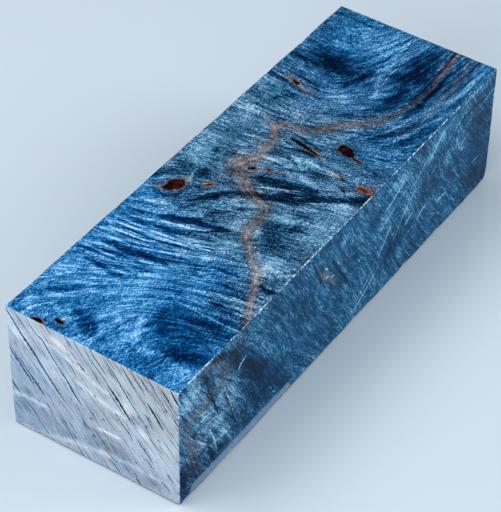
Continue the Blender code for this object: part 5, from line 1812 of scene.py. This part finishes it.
    def _wood(self, graph: Graph, where: Socket, tone: Channel) -> Socket:
        """The blue wood: royal at the near end, slate in the middle and teal at the far end.

        The change comes sooner on the front.
        """
        x, y, _ = graph.parts(where)
        drift = graph.noise(where, 0.07, 3, 0.6, 51)
        on_front = graph.attribute("on_front")
        along = x - 0.5 * y + 40 * drift + 24 * on_front
        royal = graph.ramp(tone, self.royal)
        near = graph.mix(along.step(-38, -20), royal, graph.ramp(tone, self.slate))
        colour = graph.mix(along.step(14, 40), near, graph.ramp(tone, self.teal))
        side = graph.attribute("on_side") * (0.35 + 0.65 * along.step(-20, 4))
        colour = graph.mix(side, colour, graph.ramp(tone, self.sawn))
        bluer = graph.distance(where, self.royal_spot).step(15, 5) * (0.5 + 2.0 * drift)
        colour = graph.mix(bluer.clamped(), colour, royal)
        hue = graph.noise(where, 0.13, 3, 0.5, 53)
        middle = along.step(-40, -18) * along.step(50, 34)
        green = graph.vector("MULTIPLY", colour, self.greener)
        warm = graph.vector("MULTIPLY", colour, self.browner)
        colour = graph.mix(hue.step(0.0, 0.16) * (0.25 + 0.25 * middle), colour, green)
        haze = (-1.0 * hue).step(0.03, 0.2) * (0.1 + 0.35 * middle)
        haze = haze + graph.attribute("vein").step(3.6, 0.8) * 0.6
        return graph.mix(haze.clamped() * (1 - 0.6 * on_front), colour, warm)

    def _veined(self, graph: Graph, where: Socket, tone: Channel, colour: Socket) -> Socket:
        """The wood with its brown veins: strands along them, frayed edges, and rust here and there."""
        fray = graph.noise(where, 0.9, 4, 0.7, 61)
        speck = graph.noise(where, 2.5, 3, 0.8, 63)
        strand = graph.noise(graph.attribute_vector("vein_run"), (0.22, 2.2, 1), 4, 0.7, 73)
        patchy = graph.noise(where, 0.35, 3, 0.6, 77)
        ratio = graph.attribute("vein") + 2.1 * fray + 0.6 * strand + 2.2 * speck
        strength = graph.attribute("vein_strength")
        share = ratio.step(1.75, 0.1) * strength * (0.96 + 1.6 * strand + (1.6 - 1.2 * strength) * patchy)
        level = 0.4 * (tone - 0.5) + 0.52 + 0.42 * graph.attribute("vein_pale")
        level = level + 0.9 * fray + 1.3 * strand + 2.0 * speck - 0.14 * ratio
        brown = graph.ramp(level.clamped(), self.tan)
        rusts = [graph.distance(where, spot).step(*fade) * share for spot, fade, share in self.rust_spots]
        rusty = graph.vector("MULTIPLY", brown, self.rustier)
        brown = graph.mix(sum(rusts[1:], rusts[0]).clamped(), brown, rusty)
        return graph.mix((share * 0.92).clamped(), colour, brown)

    def _pocketed(self, graph: Graph, where: Socket, colour: Socket) -> Socket:
        """The wood with its bark pockets: dark bark or orange wood in a thin rim, and a brown shade."""
        wobble = graph.noise(where, 1.3, 3, 0.65, 3)
        patchy = graph.noise(where, 0.45, 3, 0.6, 9)
        grit = graph.noise(where, (2.4, 1.6, 2.4), 3, 0.7, 15)
        on_top, broad = graph.attribute("on_top"), graph.attribute("rim")
        gap = graph.attribute("pocket") + 0.7 * wobble + 0.5 * grit
        red = graph.attribute("ember") * 2.2 - 0.1 * gap
        dark = graph.ramp((0.2 + 1.6 * patchy + 0.6 * grit + red).clamped(), self.bark)
        warm = graph.ramp((0.6 + 1.2 * patchy + 1.6 * grit + 0.5 * gap).clamped(), self.ember)
        inside = graph.mix((1.3 * graph.attribute("ember") + 0.8 * grit - 0.2).clamped(), dark, warm)
        rim = graph.ramp((0.34 + 0.16 * broad + 2.4 * patchy + 1.0 * grit).clamped(), self.rim)
        shade = gap.step(1.1, 0.1) * (0.5 + 1.5 * patchy).clamped() * on_top * 0.6
        ringed = ((0.09 + 0.24 * broad - abs(gap - 0.12 * broad)) * 7).clamped()
        ringed = ringed * (0.35 + 0.5 * broad + 3.0 * patchy).clamped() * on_top
        filled = gap.step(0.05, -0.13) * on_top
        colour = graph.mix(shade, colour, linear(*self.umber))
        return graph.mix(filled, graph.mix(ringed, colour, rim), inside)

    def _ended(self, graph: Graph, where: Socket, colour: Socket) -> Socket:
        """The wood with the ends' pale haze, the lip's haze and painted reflection, and the saw's dark
        scores.

        The haze is dusty towards the upper left and bluer elsewhere. It runs in streaks along the
        scores, some of them dark, and each score has a pale blue side.
        """
        _, y, z = graph.parts(where)
        sine, cosine = self.score_slant
        saw = graph.joined(cosine * y - sine * z, sine * y + cosine * z)
        streak = graph.noise(saw, (1.6, 0.13, 1), 4, 0.75, 7, 0.2)
        rain = graph.noise(saw, (2.6, 0.16, 1), 3, 0.6, 19, 0.3)
        grit = graph.noise(where, 2.8, 3, 0.75, 17)
        blotch = graph.noise(where, 0.16, 3, 0.6, 27)
        fray = graph.noise(where, 1.5, 4, 0.75, 57)
        on_end = graph.attribute("on_end")
        level = 0.53 + 0.6 * streak + 0.9 * grit + 0.5 * blotch + 0.4 * graph.attribute("tone")
        level = (level - 0.75 * rain.step(0.05, 0.22)).clamped()
        dust = 0.42 - 0.018 * y + 0.02 * (z - 17) + 1.6 * graph.noise(where, 0.1, 3, 0.6, 87)
        pale = graph.mix(dust.clamped(), graph.ramp(level, self.end), graph.ramp(level, self.dusty))
        cream = graph.attribute("cream") * (1 + 2.2 * fray + 1.5 * grit)
        pale = graph.mix(cream.clamped() * 0.8, pale, linear(*self.cream))
        beside = self._strokes(graph, "score", SCORE_LAYERS, 1.4 * fray - 1.5) * (0.3 + 1.6 * blotch)
        pale = graph.mix(beside.clamped(), pale, linear(*self.halo))
        colour = graph.mix(0.95 * on_end, colour, pale)
        # The front's bottom lip: a pale band, partly the sawn step's haze and partly a painted reflection.
        lip = graph.attribute("lip")
        uneven = (0.7 * grit + 0.5 * blotch) * lip.step(0.0, 0.2)
        lip = (lip + uneven).step(0.12, 0.3) * (0.62 + 1.4 * grit + 0.6 * streak)
        lip = lip.clamped() * graph.attribute("on_front")
        colour = graph.mix(lip, colour, linear(*self.lip_haze_and_reflection))
        dark = self._strokes(graph, "score", SCORE_LAYERS, 2.2 * fray) * (0.85 + 1.6 * grit)
        score_colour_and_edge_shade = graph.ramp((0.5 + 1.6 * blotch + 1.3 * fray + 0.02 * y).clamped(), self.scored)
        return graph.mix((dark * on_end).clamped(), colour, score_colour_and_edge_shade)

    def _edged(self, graph: Graph, where: Socket, colour: Socket) -> Socket:
        """The wood with painted light on its arrises: a whitish highlight, broken and in places faint or
        beaded, and elsewhere a dark painted shade.
        """
        broken = graph.noise(where, 0.9, 4, 0.8, 81)
        slow = graph.noise(where, 0.07, 2, 0.5, 83)
        bead = graph.noise(where, 0.3, 2, 0.6, 85)
        glint = graph.attribute("glint")
        x, _, _ = graph.parts(where)
        faint = x.step(-12, -6) * x.step(28, 22) + x.step(48, 54)
        # A painted highlight: a broken whitish line where an arris's number is above zero.
        painted_highlight = (glint * (0.45 - 0.25 * faint + 7.5 * broken + 1.4 * bead + 1.6 * slow)).step(0.2, 0.8)
        # A painted shade: a dark line where an arris's number is below zero, mostly the bottom edges.
        dark = (glint * -1.0).step(0.1, 0.8) * 0.8
        colour = graph.mix(painted_highlight, colour, linear(*self.glint))
        return graph.mix(dark, colour, linear(*self.score_colour_and_edge_shade))

    @staticmethod
    def _roughness(graph: Graph, where: Socket) -> Channel:
        """Satin on the top, glossy on the long sides and dull on the ends, all a little uneven."""
        smear = graph.noise(where, 0.5, 3, 0.6, 91)
        level = 0.42 - 0.27 * graph.attribute("on_side") + 0.1 * graph.attribute("on_end")
        return (level + 0.12 * smear).clamped()

    def _bump(self, graph: Graph, where: Socket, grain: Socket) -> Socket:
        """Fine relief in millimetres: fibres along the grain, and the saw's arcs on the long sides."""
        fibre = graph.noise(grain, (0.5, 2.4, 2.4), 2, 0.6, 13)
        arcs = graph.joined(self._arc(graph, where, self.chatter_axle))
        chatter = graph.noise(arcs, (1.2, 0, 0), 3, 0.7, 43)
        height = fibre * 0.012 + chatter * 0.03 * graph.attribute("on_side")
        bump = graph.node("ShaderNodeBump", None, {"Strength": self.relief, "Distance": MM, "Height": height})
        return bump.outputs[0]


def placed(name: str, data: bpy.types.ID) -> bpy.types.Object:
    """A new object in the scene that shows a mesh, a light or a camera."""
    made = bpy.data.objects.new(name, data)
    bpy.context.scene.collection.objects.link(made)
    return made


@dataclass
class BurlBlock:
    """The block itself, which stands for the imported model's one solid."""

    node: str = CAD_NODE
    name: str = "burl_block_figured"
    finish: BurlFinish = BurlFinish()

    def build(self) -> bpy.types.Object:
        """Makes the block's mesh, gives it its finish, and ties it to the frame."""
        low, high = (np.array(corner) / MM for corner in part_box(self.node))
        surface = BlockSurface(low, high)
        points, measured = surface.shaped()
        block = self._mesh_object(surface, points)
        painter = SurfacePainter(surface, GrainField())
        self._store(block.data, painter.attributes(measured))
        block.data.materials.append(self.finish.make())
        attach(block, "root")
        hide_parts(self.node)
        log.info("%s: %d points, %d polygons", block.name, len(points), len(surface.counts))
        return block

    def _mesh_object(self, surface: BlockSurface, points: np.ndarray) -> bpy.types.Object:
        """The points and polygons as a smooth-shaded object at the origin."""
        splits = np.cumsum(surface.counts)[:-1]
        polygons = [polygon.tolist() for polygon in np.split(surface.corners, splits)]
        mesh = bpy.data.meshes.new(self.name)
        mesh.from_pydata(points * MM, [], polygons)
        mesh.shade_smooth()
        return placed(self.name, mesh)

    @staticmethod
    def _store(mesh: bpy.types.Mesh, values: dict[str, np.ndarray]) -> None:
        """Writes each array to the mesh as an attribute of its points."""
        for name, array in values.items():
            kind, slot = ("FLOAT_VECTOR", "vector") if array.ndim == 2 else ("FLOAT", "value")
            layer = mesh.attributes.new(name, kind, "POINT")
            layer.data.foreach_set(slot, np.ascontiguousarray(array, np.float32).ravel())


@dataclass(frozen=True)
class SoftLight:
    """A rectangular studio light: where it stands, where it points, its sizes, power and tint."""

    name: str
    place: tuple[float, float, float]
    target: tuple[float, float, float]
    size: tuple[float, float]
    watts: float
    tint: tuple[float, float, float] = (1.0, 1.0, 1.0)

    def build(self) -> bpy.types.Object:
        """Adds the light, hidden from the camera itself."""
        data = bpy.data.lights.new(self.name, "AREA")
        data.shape = "RECTANGLE"
        data.size, data.size_y = self.size
        data.energy = self.watts
        data.color = self.tint
        light = placed(self.name, data)
        aim = Vector(self.target) - Vector(self.place)
        turned = aim.to_track_quat("-Z", "Y").to_matrix().to_4x4()
        light.matrix_world = Matrix.Translation(self.place) @ turned
        light.visible_camera = False
        return light


@dataclass
class Studio:
    """The plain floor, the soft lights and the camera."""

    floor_size: float = 4.0
    floor_colour: tuple = (210, 221, 229)
    world_colour: tuple = (214, 226, 238)
    world_strength: float = 0.46
    azimuth: float = -57.055
    elevation: float = 41.014
    roll: float = 1.014
    distance: float = 0.4806
    target: tuple[float, float, float] = (-0.00793, -0.00050, 0.01731)
    lens: float = 146.9
    sensor: float = 36.0
    clip_start: float = 0.01
    lights: tuple[SoftLight, ...] = (
        SoftLight("window", (-0.30, 0.34, 0.66), (0.0, 0.0, 0.02), (0.5, 0.4), 3.0),
        SoftLight("near", (-0.75, -0.12, 0.36), (0.0, 0.0, 0.02), (0.6, 0.4), 3.9),
        SoftLight("fill", (0.42, -0.55, 0.34), (0.0, 0.0, 0.02), (0.5, 0.4), 2.6, (0.95, 0.98, 1.0)),
    )

    def build(self) -> None:
        """Adds everything around the block."""
        self._floor()
        self._world()
        for light in self.lights:
            light.build()
        self._camera()
        bpy.context.scene.view_settings.view_transform = "Standard"
        log.info("studio: %d lights", len(self.lights))

    def _floor(self) -> None:
        """A wide pale floor, slightly glossy."""
        half = self.floor_size / 2
        mesh = bpy.data.meshes.new("floor")
        corners = [(-half, -half, 0), (half, -half, 0), (half, half, 0), (-half, half, 0)]
        mesh.from_pydata(corners, [], [(0, 1, 2, 3)])
        floor = placed("floor", mesh)
        material = bpy.data.materials.new("pale_floor")
        graph = Graph(material)
        where = graph.node("ShaderNodeTexCoord").outputs["Object"]
        smear = Channel(graph, graph.node("ShaderNodeTexNoise", None, {
            "Vector": where, "Scale": 30.0, "Detail": 2.0,
        }).outputs["Fac"])
        shader = graph.node("ShaderNodeBsdfPrincipled", None, {
            "Base Color": linear(*self.floor_colour), "Roughness": 0.2 + 0.08 * smear,
        })
        graph.node("ShaderNodeOutputMaterial", None, {"Surface": shader.outputs[0]})
        mesh.materials.append(material)

    def _world(self) -> None:
        """An even, dim sky."""
        world = bpy.data.worlds.new("studio")
        world.use_nodes = True
        background = world.node_tree.nodes["Background"]
        background.inputs["Color"].default_value = linear(*self.world_colour)
        background.inputs["Strength"].default_value = self.world_strength
        bpy.context.scene.world = world

    def _camera(self) -> None:
        """The camera at the photograph's angle, distance, roll and focal length."""
        turn, rise, roll = (math.radians(angle) for angle in (self.azimuth, self.elevation, self.roll))
        back = Vector((math.sin(turn) * math.cos(rise), -math.cos(turn) * math.cos(rise), math.sin(rise)))
        level = (-back).cross(Vector((0, 0, 1))).normalized()
        above = back.cross(level)
        right = level * math.cos(roll) + above * math.sin(roll)
        up = above * math.cos(roll) - level * math.sin(roll)
        data = bpy.data.cameras.new("camera")
        data.sensor_fit = "AUTO"
        data.sensor_width = self.sensor
        data.lens = self.lens
        data.clip_start = self.clip_start
        camera = placed("camera", data)
        place = Vector(self.target) + back * self.distance
        turned = Matrix((right, up, back)).transposed().to_4x4()
        camera.matrix_world = Matrix.Translation(place) @ turned
        bpy.context.scene.camera = camera


def main() -> None:
    """Builds the studio and then the block."""
    logging.basicConfig(level=logging.INFO, format="%(message)s")
    Studio().build()
    BurlBlock().build()


if __name__ == "__main__":
    main()
